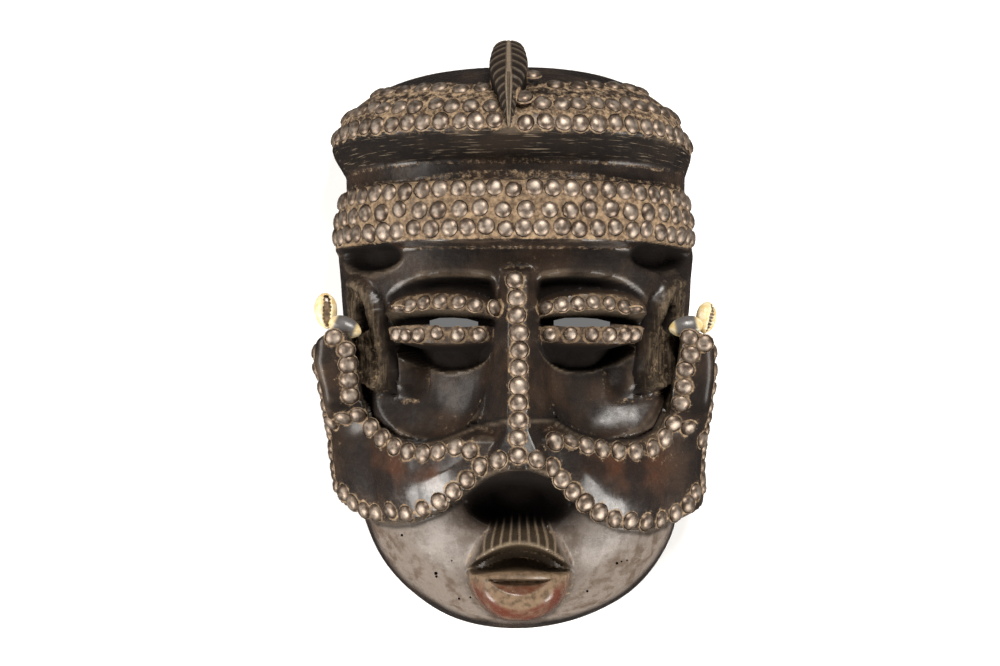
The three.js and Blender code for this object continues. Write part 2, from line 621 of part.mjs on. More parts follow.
tackRow("tacks_right_plate_upper", seen([[93, -6], [91.6, -27.5], [86.7, -44.4], [77, -60], [64.9, -63],
  [47.4, -61], [29, -56]]), tack.radius);
tackRow("tacks_left_plate_edge", [[-outerEdge + 6, -78], [-outerEdge + 6, -8]], tack.radius);
tackRow("tacks_right_plate_edge", [[outerEdge - 6, -78], [outerEdge - 6, -8]], tack.radius);

// The origin is the middle of the back rim's plane under the whole mask
const extent = new THREE.Box3().setFromObject(part, true);
const middle = extent.getCenter(new THREE.Vector3());
part.position.set(-middle.x, -middle.y, -extent.min.z);

export default part;
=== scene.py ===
import math

import bpy
import numpy as np
from mathutils import Matrix, Vector
from mathutils.bvhtree import BVHTree
from mathutils.kdtree import KDTree


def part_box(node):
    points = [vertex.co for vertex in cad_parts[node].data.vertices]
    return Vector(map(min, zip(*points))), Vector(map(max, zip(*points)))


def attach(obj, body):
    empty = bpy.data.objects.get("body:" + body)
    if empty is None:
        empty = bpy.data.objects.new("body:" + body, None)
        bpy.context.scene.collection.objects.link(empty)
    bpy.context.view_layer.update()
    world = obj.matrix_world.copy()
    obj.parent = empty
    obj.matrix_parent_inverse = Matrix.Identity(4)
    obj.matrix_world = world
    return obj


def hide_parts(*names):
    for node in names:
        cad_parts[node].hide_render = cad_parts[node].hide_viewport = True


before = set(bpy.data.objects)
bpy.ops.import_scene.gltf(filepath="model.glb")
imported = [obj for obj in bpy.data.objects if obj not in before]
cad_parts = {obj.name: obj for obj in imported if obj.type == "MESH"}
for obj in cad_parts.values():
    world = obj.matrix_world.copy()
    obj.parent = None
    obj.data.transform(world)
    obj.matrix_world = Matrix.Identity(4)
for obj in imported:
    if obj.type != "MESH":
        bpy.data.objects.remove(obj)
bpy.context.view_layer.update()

# A carved wooden face mask, studded with domed tacks and lying face up. The carving is worked out
# in millimetres, in the carver's frame: s runs round the arch of the face from the nose line (left
# of the nose is negative), y runs up the face, and each form is a lift off the arch.

mm = 0.001
arch = {"radius": 88, "wallSpan": 32, "wallShare": 0.3}
quarterArc = arch["radius"] * math.pi / 2
rimArc = quarterArc + arch["wallSpan"]
head = {"top": 147, "chin": -161.6, "neckWidth": 92.5, "neckDepth": 92.5, "faceDepth": 92}
cap = {"base": 106, "rise": 41, "left": 101, "right": 96.5, "depthY": 105, "depth": 112, "edge": 111,
       "neck": 95}
band = {"top": 84.5, "neck": 85, "bottom": 51.5, "bevel": 47.5, "left": 98.8, "right": 96.8, "depth": 110,
        "taper": 3.5}
jaw = {"faceWidth": 97.3, "width": 87, "y": -85, "length": 76.6, "shift": 3}
hollow = {"y": -9, "length": 137, "width": 79, "depth": 64, "gouge": 1.1}
nose = {"x": 0.8, "tip": -72, "sink": 20}
cheek = {"s": 50, "y": -12, "nearWidth": 36, "farWidth": 44, "height": 44, "depth": 16, "power": 2.3}
slit = {"y": 6.6, "halfHeight": 2.5, "wallTop": 140, "wallFoot": 30}
mouth = {"x": 1.9, "y": -128.2, "radius": 27, "edgeDrop": 8, "roll": 15, "flutes": 4.6, "turn": 0.172,
         "depth": 1.4}
lens = {"bottom": -141, "top": -132.3, "halfWidth": 17, "curl": 8.5, "depth": 8}
underNose = {"middle": (1, -90), "size": (31, 17), "depth": 16}
templeScoop = {"middle": (90, 43), "size": (31, 10.5)}
earPit = {"middle": (92, 8), "size": (6, 9)}
eye = {"s": 42, "width": 31, "browTurn": -0.35, "browWidth": 1.4}
# Heights [at the corners of the eye, more in its middle] of the eye's edges, from the bag up to the brow
eyeHeights = {"bag": [-3, -17.2], "lowerFoot": [-2, -3.2], "lowerEdge": [3.5, 2.1], "slitTop": [6.5, 3],
              "lidEdge": [8.5, 5.5], "lidTop": [13, 10.4], "brow": [15.5, 16.5]}


def ease(start, end, value):
    share = np.clip((value - start) / (end - start), 0, 1)
    return share * share * (3 - 2 * share)


def along(stations, place):  # straight lines between [place, size] stations
    places, sizes = zip(*stations)
    return np.interp(place, places, sizes)


def lerp(low, high, share):
    return low + (high - low) * share


def bell(value, middle, width):  # one at the middle, falling away to both sides
    return np.exp(-((value - middle) / width) ** 2)


def ovalReach(oval, x, y):  # nought in the middle of an oval, one on its edge
    return np.hypot((x - oval["middle"][0]) / oval["size"][0], (y - oval["middle"][1]) / oval["size"][1])


def roundEnd(share, power):  # one in the middle of a form, falling to nothing at its end
    return np.maximum(1 - np.clip(share, 0, 1) ** power, 0) ** (1 / power)


def softNoise(points, size, seed):  # smooth noise from -1 to 1 over points, with lumps of a size
    lattice = np.random.default_rng(seed).random((24, 24, 24)) * 2 - 1
    spot = np.asarray(points) / size
    cell = np.floor(spot).astype(int)
    part = spot - cell
    part = part * part * (3 - 2 * part)
    total = 0
    for corner in np.ndindex(2, 2, 2):
        at = (cell + corner) % 24
        weight = np.prod(np.where(corner, part, 1 - part), axis=-1)
        total = total + weight * lattice[at[..., 0], at[..., 1], at[..., 2]]
    return total


def gougeMarks(s, y, length, width, seed):  # scoops of a gouge, zero in each scoop, one on a ridge
    offsets = np.random.default_rng(seed).random((32, 32, 2))
    nearest = np.full(np.shape(s), 9.0)
    for stepY in (-1, 0, 1):
        for stepS in (-1, 0, 1):
            row = np.floor(y / length).astype(int) + stepY
            column = np.floor(s / width).astype(int) + stepS
            jitter = offsets[row % 32, column % 32]
            away = np.hypot(s / width - column - jitter[..., 0], y / length - row - jitter[..., 1])
            nearest = np.minimum(nearest, away)
    return np.clip(nearest, 0, 1) ** 2


# How far the cap and the bands sag towards the sides
leftSag = [[30, 0], [50, 7], [85, 9.5], [95, 11.5], [104, 10], [head["top"], 0]]
rightSag = [[30, 0], [50, 7], [85, 9], [95, 13], [104, 13], [head["top"], 0]]


def sag(s, y):
    angle = np.minimum(np.abs(s) / arch["radius"], math.pi / 2)
    size = np.where(s < 0, along(leftSag, y), along(rightSag, y))
    return size * (1 - np.cos(angle)) ** 1.3


def headSection(y, onLeft):  # half-width and front depth of the plain head
    capWidth = np.where(onLeft, cap["left"], cap["right"]) * roundEnd((y - cap["base"]) / cap["rise"], 2.2)
    capDepth = cap["depth"] * roundEnd((y - cap["depthY"]) / (head["top"] - cap["depthY"]), 2.5)
    brim = (y - cap["neck"]) / (cap["edge"] - cap["neck"])
    raised = ease(band["neck"], band["top"] - 1.5, y) * ease(band["bevel"], band["bottom"], y)
    down = (band["bevel"] - y) / (band["bevel"] - jaw["y"])
    plainWidth = lerp(head["neckWidth"], jaw["faceWidth"], ease(band["top"], band["bevel"], y))
    bandWidth = np.where(onLeft, band["left"], band["right"]) - band["taper"] * ease(66, band["top"], y)
    bandDepth = band["depth"] - 6 * ((band["bottom"] + 6 - y) / 33) ** 2
    low = (jaw["y"] - y) / jaw["length"]
    places = [y > cap["edge"], y > cap["neck"], y > band["bevel"], y > jaw["y"]]
    width = np.select(
        places,
        [capWidth, lerp(head["neckWidth"], capWidth, brim), lerp(plainWidth, bandWidth, raised),
         lerp(jaw["faceWidth"], jaw["width"], down)],
        jaw["width"] * roundEnd(low, 2),
    )
    depth = np.select(
        places,
        [capDepth, lerp(head["neckDepth"], capDepth, brim), lerp(head["neckDepth"], bandDepth, raised),
         np.full(np.shape(y), float(head["faceDepth"]))],
        head["faceDepth"] * roundEnd(low, 2.6),
    )
    return width, depth


def archPoint(s, y, width, depth, lift, shift):
    angle = np.clip(s / arch["radius"], -math.pi / 2, math.pi / 2)
    wall = depth * arch["wallShare"]
    beyond = np.maximum(np.abs(s) - quarterArc, 0) / arch["wallSpan"]
    x = shift + np.sin(angle) * (width + lift)
    front = wall + np.cos(angle) * (depth - wall + lift)
    return x, np.maximum(np.where(beyond > 0, wall * (1 - beyond), front), 0)


def jawShift(y):
    return jaw["shift"] * ease(-70, -110, y) * (1 - ease(-140, head["chin"], y))


def depthInside(outline, s, y):  # how far inside a closed outline a place lies, below nought outside it
    nearest = np.full(np.shape(s), 1e9)
    inside = np.zeros(np.shape(s), bool)
    for (ax, ay), (bx, by) in zip([outline[-1]] + outline[:-1], outline):
        run, rise = bx - ax, by - ay
        share = np.clip(((s - ax) * run + (y - ay) * rise) / (run * run + rise * rise), 0, 1)
        nearest = np.minimum(nearest, np.hypot(s - ax - share * run, y - ay - share * rise))
        if rise:
            inside ^= ((ay > y) != (by > y)) & (s < ax + (y - ay) / rise * run)
    return np.where(inside, nearest, -nearest)


# The tusk plates sweep from the nostrils over the cheeks and up to a horn tip at each ear
plates = [
    {
        "lift": [[-103, 13], [-76, 12], [-57, 12.5], [-30, 15], [-15, 18], [4, 14.5]],
        "lower": [[0, -71.7], [-15.8, -76.6], [-31.6, -89.7], [-44, -97.3], [-58.3, -102.7], [-69.2, -103.8],
                  [-82.5, -102.3], [-95.3, -96.2]],
        "upper": [[-104, 3.2], [-89.4, 4.2], [-86.7, -5.7], [-85, -16.6], [-84, -33], [-78.5, -47.7],
                  [-63.2, -58], [-52.3, -59.7], [-41.4, -57.5], [-20.7, -49.3], [0, -45]],
    },
    {
        "lift": [[-103, 15], [-65, 14], [-47, 15], [-25, 16.5], [-14, 16], [4, 13]],
        "lower": [[0, -71.7], [19, -76], [26.7, -87], [43, -99.5], [57.2, -105.5], [72.5, -107.6],
                  [85, -103.8], [98.6, -97.2]],
        "upper": [[102, 3.2], [90, 4.2], [87.2, -5.7], [84.5, -27.5], [82.8, -41], [75.8, -53], [67.6, -57.5],
                  [49.6, -59], [32.2, -53.7], [20.8, -46.6], [0, -45]],
    },
]
plateEdge = quarterArc + 12
frontLift = [[0, 26], [20, 22.5], [40, 18], [60, 14]]
edgeRoll = [[-60, 3], [-55, 7], [-12, 7], [-4, 3.5]]
plateWall = 2.2
plateBulge = 5
horn = {"fromY": -58, "fullY": -36, "lowY": -48, "tipY": 4, "low": 63, "high": 85, "flatTo": 120, "round": 4,
        "roundWidth": 5, "groove": 3}


def lean(away):  # how much of a plate's lift widens it: none in front, where its wall stands upright
    return ease(95, 128, away)


fineArc = np.linspace(0, quarterArc, 600)
for plate in plates:
    side = math.copysign(1, plate["lower"][1][0])

    def roundPlate(x, y, lift=plate["lift"]):  # where a point seen from the front lies round the arch
        width, _ = headSection(np.array(float(y)), x < 0)
        x = x - 1.5 * jawShift(y) * ease(92, 60, x) * (x > 0)  # room for the tacks on the right plate's foot
        reached = np.sin(fineArc / arch["radius"]) * (width + along(lift, y) * lean(fineArc))
        return math.copysign(np.interp(abs(x), reached, fineArc), x), y

    plate["outline"] = [roundPlate(*place) for place in plate["lower"]]
    plate["outline"] += [(side * plateEdge, -84), (side * plateEdge, -8)]
    plate["outline"] += [roundPlate(*place) for place in plate["upper"]]


def plateLift(s, y):  # how high a plate stands at a place, and how far inside its outline the place lies
    lift = np.zeros(np.shape(s))
    depthIn = np.full(np.shape(s), -1.0)
    for plate, mine in zip(plates, (s < 0, s >= 0)):
        inside = depthInside(plate["outline"], s, y)
        front = np.cos(np.minimum(np.abs(s) / arch["radius"], math.pi / 2)) ** 2
        size = lerp(along(plate["lift"], y), along(frontLift, np.abs(s)), front)
        rise = np.sqrt(1 - (1 - np.clip(inside / along(edgeRoll, y), 0, 1)) ** 2)
        puff = plateBulge * ease(3, 20, inside) * ease(-32, -60, y)
        puff = puff * ease(18, 40, np.abs(s)) * ease(124, 100, np.abs(s))
        lift = np.where(mine & (inside > 0), size * rise + puff, lift)
        depthIn = np.where(mine, inside, depthIn)
    return lift, depthIn


def hornDepth(s, y, inside, depth):  # the tusks stand further forward up to their tips
    away = np.abs(s)
    share = ease(horn["fromY"], horn["fullY"], y) * ease(quarterArc, quarterArc - 3, away)
    top = lerp(horn["low"], horn["high"], np.clip((y - horn["lowY"]) / (horn["tipY"] - horn["lowY"]), 0, 1))
    wall = head["faceDepth"] * arch["wallShare"]
    over = np.clip((away - horn["flatTo"]) / (quarterArc - horn["flatTo"]), 0, 1)
    edge = horn["round"] * (1 - np.sqrt(1 - (1 - np.clip(inside / horn["roundWidth"], 0, 1)) ** 2))
    return lerp(depth, wall + (top - wall) * np.sqrt(1 - over ** 2) - edge, share)


def softMax(a, b, width):  # the larger of two heights, rounded where they meet
    share = np.clip(0.5 + (b - a) / (2 * width), 0, 1)
    return lerp(a, b, share) + width * share * (1 - share)


noseHeight = [[-78, 34], [-70, 34], [-40, 24], [0, 14], [30, 8], [42, 0]]
noseRidge = [[-78, 12], [-64, 11.5], [-52, 6], [-30, 5]]
noseFoot = [[-78, 34], [-60, 30], [-40, 21], [0, 16], [30, 11]]


def noseRise(x, y):  # past its foot and its top the nose sinks under whatever is carved beside it
    away = np.abs(x - nose["x"])
    bottom = nose["tip"] - 5 * (away / 16) ** 2
    ridge = along(noseRidge, y)
    reach = (away - ridge) / (along(noseFoot, y) - ridge)
    flank = along(noseHeight, y) * (1 - np.clip(reach, 0, 1)) ** 1.3 * ease(bottom - 3, bottom, y)
    past = np.maximum.reduce([ease(0.6, 1.25, reach), ease(33, 46, y), ease(bottom - 2, bottom - 8, y)])
    return flank - nose["sink"] * past


def eyeEdges(s):  # the heights of the eye's edges round the face
    across = (np.abs(s) - eye["s"]) / eye["width"]
    arched = np.sqrt(np.maximum(1 - across ** 2, 0))
    browArched = np.sqrt(np.maximum(1 - ((across - eye["browTurn"]) / eye["browWidth"]) ** 2, 0))
    edges = {name: low + more * (browArched if name == "brow" else arched)
             for name, (low, more) in eyeHeights.items()}
    return edges, 1 - ease(0.88, 1.06, np.abs(across))


def eyeLift(s, y):  # hollow cheek, dark bag, lower lid, slit, overhanging upper lid, hollow under the brow
    beyond = np.abs(s) - cheek["s"]
    sideways = np.abs(beyond / np.where(beyond < 0, cheek["nearWidth"], cheek["farWidth"])) ** cheek["power"]
    within = np.maximum(1 - sideways - np.abs((y - cheek["y"]) / cheek["height"]) ** cheek["power"], 0)
    cheekFloor = -cheek["depth"] * within ** lerp(0.45, 1.1, ease(45, 80, np.abs(s)))
    cheekFloor = cheekFloor * (1 - 0.75 * ease(58, 70, np.abs(s)) * ease(-38, -27, y))
    beside = cheekFloor * (1 - ease(-1, 15, y))
    edges, share = eyeEdges(s)
    underBrow = lerp(-9, -2, ease(0.05, 0.75, (np.abs(s) - eye["s"]) / eye["width"]))
    stations = [
        (edges["bag"] - 0.6, cheekFloor), (edges["bag"] + 1.8, -20), (edges["lowerFoot"] - 4, -17),
        (edges["lowerFoot"], 2.5), (edges["lowerEdge"] - 0.8, 4.5), (edges["lowerEdge"], 4),
        (edges["lowerEdge"] + 0.6, -7), (edges["slitTop"] - 0.6, -7), (edges["lidEdge"] - 0.5, 0.5),
        (edges["lidEdge"] + 0.3, 6), (edges["lidTop"] - 1, 2.5), (edges["lidTop"] + 1.5, underBrow),
        (edges["brow"] - 3.5, underBrow), (edges["brow"] + 1.2, 0),
    ]
    reached, lift = stations[0]
    for place, size in stations[1:]:
        place = np.maximum(place, reached + 0.4)
        lift = lerp(lift, size, np.clip((y - reached) / (place - reached), 0, 1))
        reached = place
    return lerp(beside, lift, share)


# The ear is a low flap with a rim, a pit, and a groove between it and the cheek
earFlap = [[120, 22], [113, 28.5], [104, 31.5], [94, 31], [85.5, 27], [79.5, 18], [77, 7], [75.5, -7], [74, -21],
           [77, -30], [86, -32], [96, -29], [106, -18], [120, -8]]


def earLift(s, y):
    away = np.abs(s)
    inside = depthInside(earFlap, away, y)
    rim = bell(inside, 3.6, 1.8) * (inside > 0)
    flap = (5 * ease(0, 2.4, inside) + 2.2 * rim) * ease(116, 100, away)
    pit = -11 * (1 - ease(0.45, 1, ovalReach(earPit, away, y)))
    groove = -3.5 * bell(inside, -1.6, 1.1) * ease(84, 79, away)
    scooped = -10 * (1 - ease(0.55, 1, ovalReach(templeScoop, away, y)))
    return np.where(inside < -6, 0, flap + pit + groove) + scooped


# Front of the pouting mouth from under the lower lip, over its ledge and the open mouth, to the upper
# lip's edge and up into the hollow under the nose: [height, depth]
mouthProfile = [[-156, 102], [-150, 105.5], [-146, 107.5], [-143, 108.5], [-138, 108.5], [-133, 107.5],
                [-130, 106], [-128, 102], [-125, 94], [-121, 89], [-116.5, 90], [-114.3, 101],
                [-113.4, 110.5], [-112.2, 111.5], [-106, 105], [-98, 88], [-92, 70]]


def mouthPlaces(x, y):  # how far out from the middle of the mouth, and where in its flutes and its lens
    across = x - mouth["x"]
    reach = np.hypot(across * lerp(1, 1.18, ease(-130, -116, y)), y - mouth["y"]) / mouth["radius"]
    arched = y + mouth["edgeDrop"] * (across / 22) ** 2 * ease(-131, -125, y)
    spread = mouth["radius"] * lerp(0.9, 1.12, ease(-98, -114, y))
    fan = np.arcsin(np.clip(across / spread, -1, 1)) / mouth["turn"]
    arris = 1 - ease(0.1, 0.45, np.abs(fan - np.round(fan)) * 2)
    fluted = (np.abs(fan) < mouth["flutes"]) * ease(-113.4, -112, arched) * (1 - ease(-101, -96, arched))
    bottom = lens["bottom"] + lens["curl"] * (across / lens["halfWidth"]) ** 2
    inLens = np.clip((y - bottom) / np.maximum(lens["top"] - bottom, 0.1), 0, 1)
    inLens = inLens * (1 - ease(lens["top"] - 1, lens["top"], y)) * (bottom < lens["top"])
    return across, reach, arched, arris * fluted, (1 - arris) * fluted, inLens


def lipDepth(x, y, depth):
    across, reach, arched, _, flute, inLens = mouthPlaces(x, y)
    floor = depth - underNose["depth"] * (1 - ease(0.45, 1, ovalReach(underNose, x, y)))
    wanted = along(mouthProfile, arched + 0.5 * flute * (arched > -115)) - 10 * (across / mouth["radius"]) ** 4
    overEdge = np.clip((reach - 0.72) / 0.32, 0, 1)
    rolled = mouth["roll"] * (1 - np.sqrt(1 - overEdge ** 2)) * ease(-128, -136, y)
    wanted = wanted - mouth["depth"] * flute - lens["depth"] * inLens - rolled
    upper = ease(-130, -116, y)
    fading = ease(lerp(0.98, 0.82, upper), lerp(1.08, 1.3, upper), reach)
    pout = softMax(floor, lerp(wanted, floor - 3 * upper, fading), 3 * upper + 0.01)
    return np.where(reach > 1.3, floor, pout), reach


def maskSurface(s, y):
    level = y + sag(s, y)
    width, depth = headSection(level, s < 0)
    plate, inside = plateLift(s, y)
    besideHorn = bell(inside, -1.5, 1.4) * ease(-62, -48, y) * (inside < 0)
    carved = eyeLift(s, y) + earLift(s, y) - horn["groove"] * besideHorn
    shift = jawShift(y)
    x, z = archPoint(s, y, width, depth, carved, shift)
    _, plain = archPoint(s, y, width, depth, 0, 0)
    nearNose = np.abs(s) <= 70
    bridge = np.where(nearNose, plain + noseRise(x, y), 0)
    z = np.where(nearNose, softMax(z, bridge, 3), z)
    pouted, reach = lipDepth(x, y, z)
    z = np.where(nearNose & (y < nose["tip"]), pouted, z)
    _, raisedZ = archPoint(s, y, width, depth, np.maximum(plate, carved), shift)
    raisedX, _ = archPoint(s, y, width, depth, plate * lean(np.abs(s)), shift)
    raisedZ = hornDepth(s, y, inside, raisedZ)
    wall = ease(0, plateWall, inside)
    return lerp(x, raisedX, wall), y, lerp(z, np.maximum(raisedZ, bridge), wall), inside, reach


def hollowSurface(s, y):
    share = np.abs(y - hollow["y"]) / hollow["length"]
    scoop = hollow["gouge"] * (gougeMarks(s, y, 23, 13, 5) - 0.4)
    width = hollow["width"] * roundEnd(share, 2.4)
    depth = hollow["depth"] * roundEnd(share, 2.6)
    edge = np.minimum(1, 4 * (1 - share))
    x, z = archPoint(s, y, width, depth, -scoop * edge, 0)
    return x, y, z


def evenSteps(count, start, end, spread, weight):
    # places from start to end whose steps are even over the surface, closer where the weight is high
    fine = np.linspace(start, end, 1200)
    steps = spread(fine) * weight((fine[1:] + fine[:-1]) / 2)
    reached = np.concatenate([[0], np.cumsum(steps)])
    return np.interp(np.linspace(0, reached[-1], count + 1), reached, fine)


def meanStep(points):
    return np.sqrt((np.diff(points, axis=0) ** 2).sum(-1)).mean(1)


def spreadOver(surface, low, high, count, alongRows=False):  # how far each fine step reaches over a surface
    def spread(fine):
        wide, long = np.meshgrid(np.linspace(low, high, count), fine)
        return meanStep(np.stack(surface(*((long, wide) if alongRows else (wide, long)))[:3], -1))
    return spread


def pathThrough(spots, count):  # a smooth path through spots, sampled evenly between them
    spots = np.array(spots, float)
    spots = np.vstack([2 * spots[0] - spots[1], spots, 2 * spots[-1] - spots[-2]])
    share = np.linspace(0, len(spots) - 3, count)
    first = np.minimum(share.astype(int), len(spots) - 4)
    t = (share - first)[:, None]
    a, b, c, d = (spots[first + step] for step in range(4))
    return 0.5 * (2 * b + (c - a) * t + (2 * a - 5 * b + 4 * c - d) * t ** 2 + (3 * b - a - 3 * c + d) * t ** 3)


# Working with meshes


def clearSelection():
    bpy.ops.object.select_all(action="DESELECT")


def pickOnly(*pieces):
    clearSelection()
    for piece in pieces:
        piece.select_set(True)
    bpy.context.view_layer.objects.active = pieces[0]


def setPlaces(piece, points):
    piece.data.vertices.foreach_set("co", np.asarray(points, np.float32).ravel())
    piece.data.update()


def placesOf(piece):
    points = np.empty(len(piece.data.vertices) * 3, np.float32)
    piece.data.vertices.foreach_get("co", points)
    return points.reshape(-1, 3)


def paint(piece, name, values):  # a number on every vertex, for the materials to read
    layer = piece.data.attributes.new(name, "FLOAT", "POINT")
    layer.data.foreach_set("value", np.asarray(values, np.float32).ravel())


def wovenSheet(name, points):  # a grid of points in rows, as a mesh
    rows, columns = points.shape[:2]
    clearSelection()
    bpy.ops.mesh.primitive_grid_add(x_subdivisions=columns - 1, y_subdivisions=rows - 1, size=1)
    piece = bpy.context.object
    piece.name = name
    setPlaces(piece, points)
    return piece


def closeUp(piece):  # merges seams and poles, fills an open rim and turns the faces outwards
    pickOnly(piece)
    bpy.ops.object.mode_set(mode="EDIT")
    bpy.ops.mesh.select_all(action="SELECT")
    bpy.ops.mesh.remove_doubles(threshold=2e-6)
    bpy.ops.mesh.select_all(action="DESELECT")
    bpy.ops.mesh.select_mode(type="EDGE")
    bpy.ops.mesh.select_non_manifold(extend=False)
    bpy.ops.object.mode_set(mode="OBJECT")
    rim = any(edge.select for edge in piece.data.edges)
    bpy.ops.object.mode_set(mode="EDIT")
    if rim:
        bpy.ops.mesh.edge_face_add()
    bpy.ops.mesh.select_all(action="SELECT")
    bpy.ops.mesh.normals_make_consistent(inside=False)
    bpy.ops.mesh.select_mode(type="VERT")
    bpy.ops.object.mode_set(mode="OBJECT")


def combine(piece, tool, operation):
    modifier = piece.modifiers.new("carve", "BOOLEAN")
    modifier.operation = operation
    modifier.solver = "MANIFOLD"
    modifier.object = tool
    pickOnly(piece)
    bpy.ops.object.modifier_apply(modifier=modifier.name)
    bpy.data.objects.remove(tool)


# The carved wood: a fine sheet over the face, closed across the back

grain = {"columns": 256, "rows": 298, "hollowColumns": 84, "hollowRows": 110, "toolMark": 0.16, "ear": 0.8}


def evenOut(sheet, rounds, share):  # draws each point of a sheet towards its neighbours
    for _ in range(rounds):
        evened = (sheet[:-2, 1:-1] + sheet[2:, 1:-1] + sheet[1:-1, :-2] + sheet[1:-1, 2:]) / 4
        sheet[1:-1, 1:-1] = lerp(sheet[1:-1, 1:-1], evened, share)
    return sheet


def wearOf(s, y, inside):  # what the hand and the tools leave on the plain form, and where the ears are
    front = np.stack([s, y, np.zeros_like(s)], -1)
    cheeks = ease(-104, -96, y) * ease(1, 0.85, np.hypot((np.abs(s) - cheek["s"]) / 40, (y - cheek["y"]) / 46))
    ears = ease(0, 2, depthInside(earFlap, np.abs(s), y)) * (inside <= 0)
    slanted = np.stack([s * 0.9 + y * 0.5, (y - s * 0.5) * 0.35, 0 * s], -1)
    hatch = np.abs(softNoise(slanted, 1.9, 14))
    marks = (gougeMarks(s, y, 15, 9, 3) - 0.35) * grain["toolMark"]
    rough = softNoise(front, 2.6, 11) * 0.4 + softNoise(front, 5.5, 12) * 0.8 - 1.4 * hatch
    swell = softNoise(front, 17, 13) * 0.35
    return marks * (1 + cheeks) + rough * grain["ear"] * ears + swell, ears


rows = evenSteps(grain["rows"], head["chin"], head["top"], spreadOver(maskSurface, -quarterArc, quarterArc, 90),
                 lambda y: 1 + 0.6 * ((y > -143) & (y < -98)) + 0.4 * ((y > -24) & (y < 27)))
columns = evenSteps(grain["columns"], -rimArc, rimArc,
                    spreadOver(maskSurface, head["chin"] + 4, head["top"] - 2, 90, alongRows=True),
                    lambda s: np.where(np.abs(s) < 30, 1.7, np.where(np.abs(s) > quarterArc - 4, 0.45, 1)))
gridS, gridY = np.meshgrid(columns, rows)
gridX, _, gridZ, gridInside, gridReach = maskSurface(gridS, gridY)
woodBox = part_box("carved_mask")
shiftX = (woodBox[0].x + woodBox[1].x) / 2 / mm - (gridX.min() + gridX.max()) / 2
shiftY = woodBox[0].y / mm - head["chin"]


def toFrame(x, y, z):  # from the carver's millimetres to the frame's metres
    return np.stack(np.broadcast_arrays(x + shiftX, y + shiftY, z), -1) * mm


wear, earMask = wearOf(gridS, gridY, gridInside)
surface = np.stack([gridX, gridY, gridZ], -1)
aroundEars = (ease(70, 78, np.abs(gridS)) * ease(-20, -10, gridY) * ease(34, 26, gridY))[1:-1, 1:-1, None]
evenOut(surface, 3, 0.6 * aroundEars)
outward = np.cross(np.gradient(surface, axis=1), np.gradient(surface, axis=0))
outward /= np.maximum(np.linalg.norm(outward, axis=-1, keepdims=True), 1e-9)
held = ease(head["chin"], head["chin"] + 5, gridY) * ease(head["top"], head["top"] - 5, gridY)
held = held * ease(quarterArc + 30, quarterArc + 10, np.abs(gridS))
surface = surface + outward * (wear * held)[..., None]
surface[:, 0, 2] = surface[:, -1, 2] = 0

# How deep each place lies below what is close around it: a crease, or below nought an edge
gridCrease = ((evenOut(surface.copy(), 4, 1) - surface) * outward).sum(-1)

woodGrid = toFrame(*np.moveaxis(surface, -1, 0))
wood = wovenSheet("mask_wood", woodGrid)
closeUp(wood)
print("wood sheet", len(wood.data.vertices))

hollowY = evenSteps(grain["hollowRows"], hollow["y"] - hollow["length"], hollow["y"] + hollow["length"],
                    spreadOver(hollowSurface, -quarterArc, quarterArc, 40), np.ones_like)
hollowS, hollowY = np.meshgrid(np.linspace(-rimArc, rimArc, grain["hollowColumns"] + 1), hollowY)
hollowX, _, hollowZ = hollowSurface(hollowS, hollowY)
hollowZ[:, 0] = hollowZ[:, -1] = hollowZ[0] = hollowZ[-1] = -5
hollowGrid = toFrame(hollowX, hollowY, hollowZ)
hollowTool = wovenSheet("hollow_tool", hollowGrid)
closeUp(hollowTool)
combine(wood, hollowTool, "DIFFERENCE")

# The eye slits go right through. Their outline is in half-lengths and half-heights.
slitOutline = [[-1, -0.7], [-0.5, -1], [0.5, -1], [1, -0.8], [1, 0.1], [0.55, 0.75], [0, 1], [-0.6, 0.95],
               [-1, 0.4]]
for middle, halfLength in ((-33.8, 13.2), (35.9, 15.4)):
    clearSelection()
    bpy.ops.mesh.primitive_circle_add(vertices=len(slitOutline), fill_type="NGON")
    blade = bpy.context.object
    corners = np.array(slitOutline) * [halfLength, slit["halfHeight"]] + [middle, slit["y"]]
    setPlaces(blade, toFrame(corners[:, 0], corners[:, 1], slit["wallFoot"]))
    bpy.ops.object.mode_set(mode="EDIT")
    bpy.ops.mesh.select_all(action="SELECT")
    bladeUp = (0, 0, (slit["wallTop"] - slit["wallFoot"]) * mm)
    bpy.ops.mesh.extrude_region_move(TRANSFORM_OT_translate={"value": bladeUp})
    bpy.ops.mesh.select_all(action="SELECT")
    bpy.ops.mesh.normals_make_consistent(inside=False)
    bpy.ops.object.mode_set(mode="OBJECT")
    combine(wood, blade, "DIFFERENCE")

# The leaf-shaped crest, over the front edge of the cap and up past its top.
# Its keel is [y, z, half-width] stations from the tip on the cap round to the back.
crest = {"x": -4, "ribs": 18, "droop": 0.05, "ribHeight": 0.75, "root": 14, "steps": 190, "across": 44}
crestKeel = [[112, 113, 0.6], [120, 114, 2.6], [130, 111, 5.2], [140, 105, 8], [149, 94, 10.5],
             [156.5, 79, 9.5], [160, 62, 7.5], [156, 46, 5.5], [147, 34, 3]]
crestSpine = [[0, 0.6], [0.08, 0.34], [0.16, 0.2], [0.3, 0.17], [0.38, 0.12], [0.44, 0.06], [1, 0.05]]

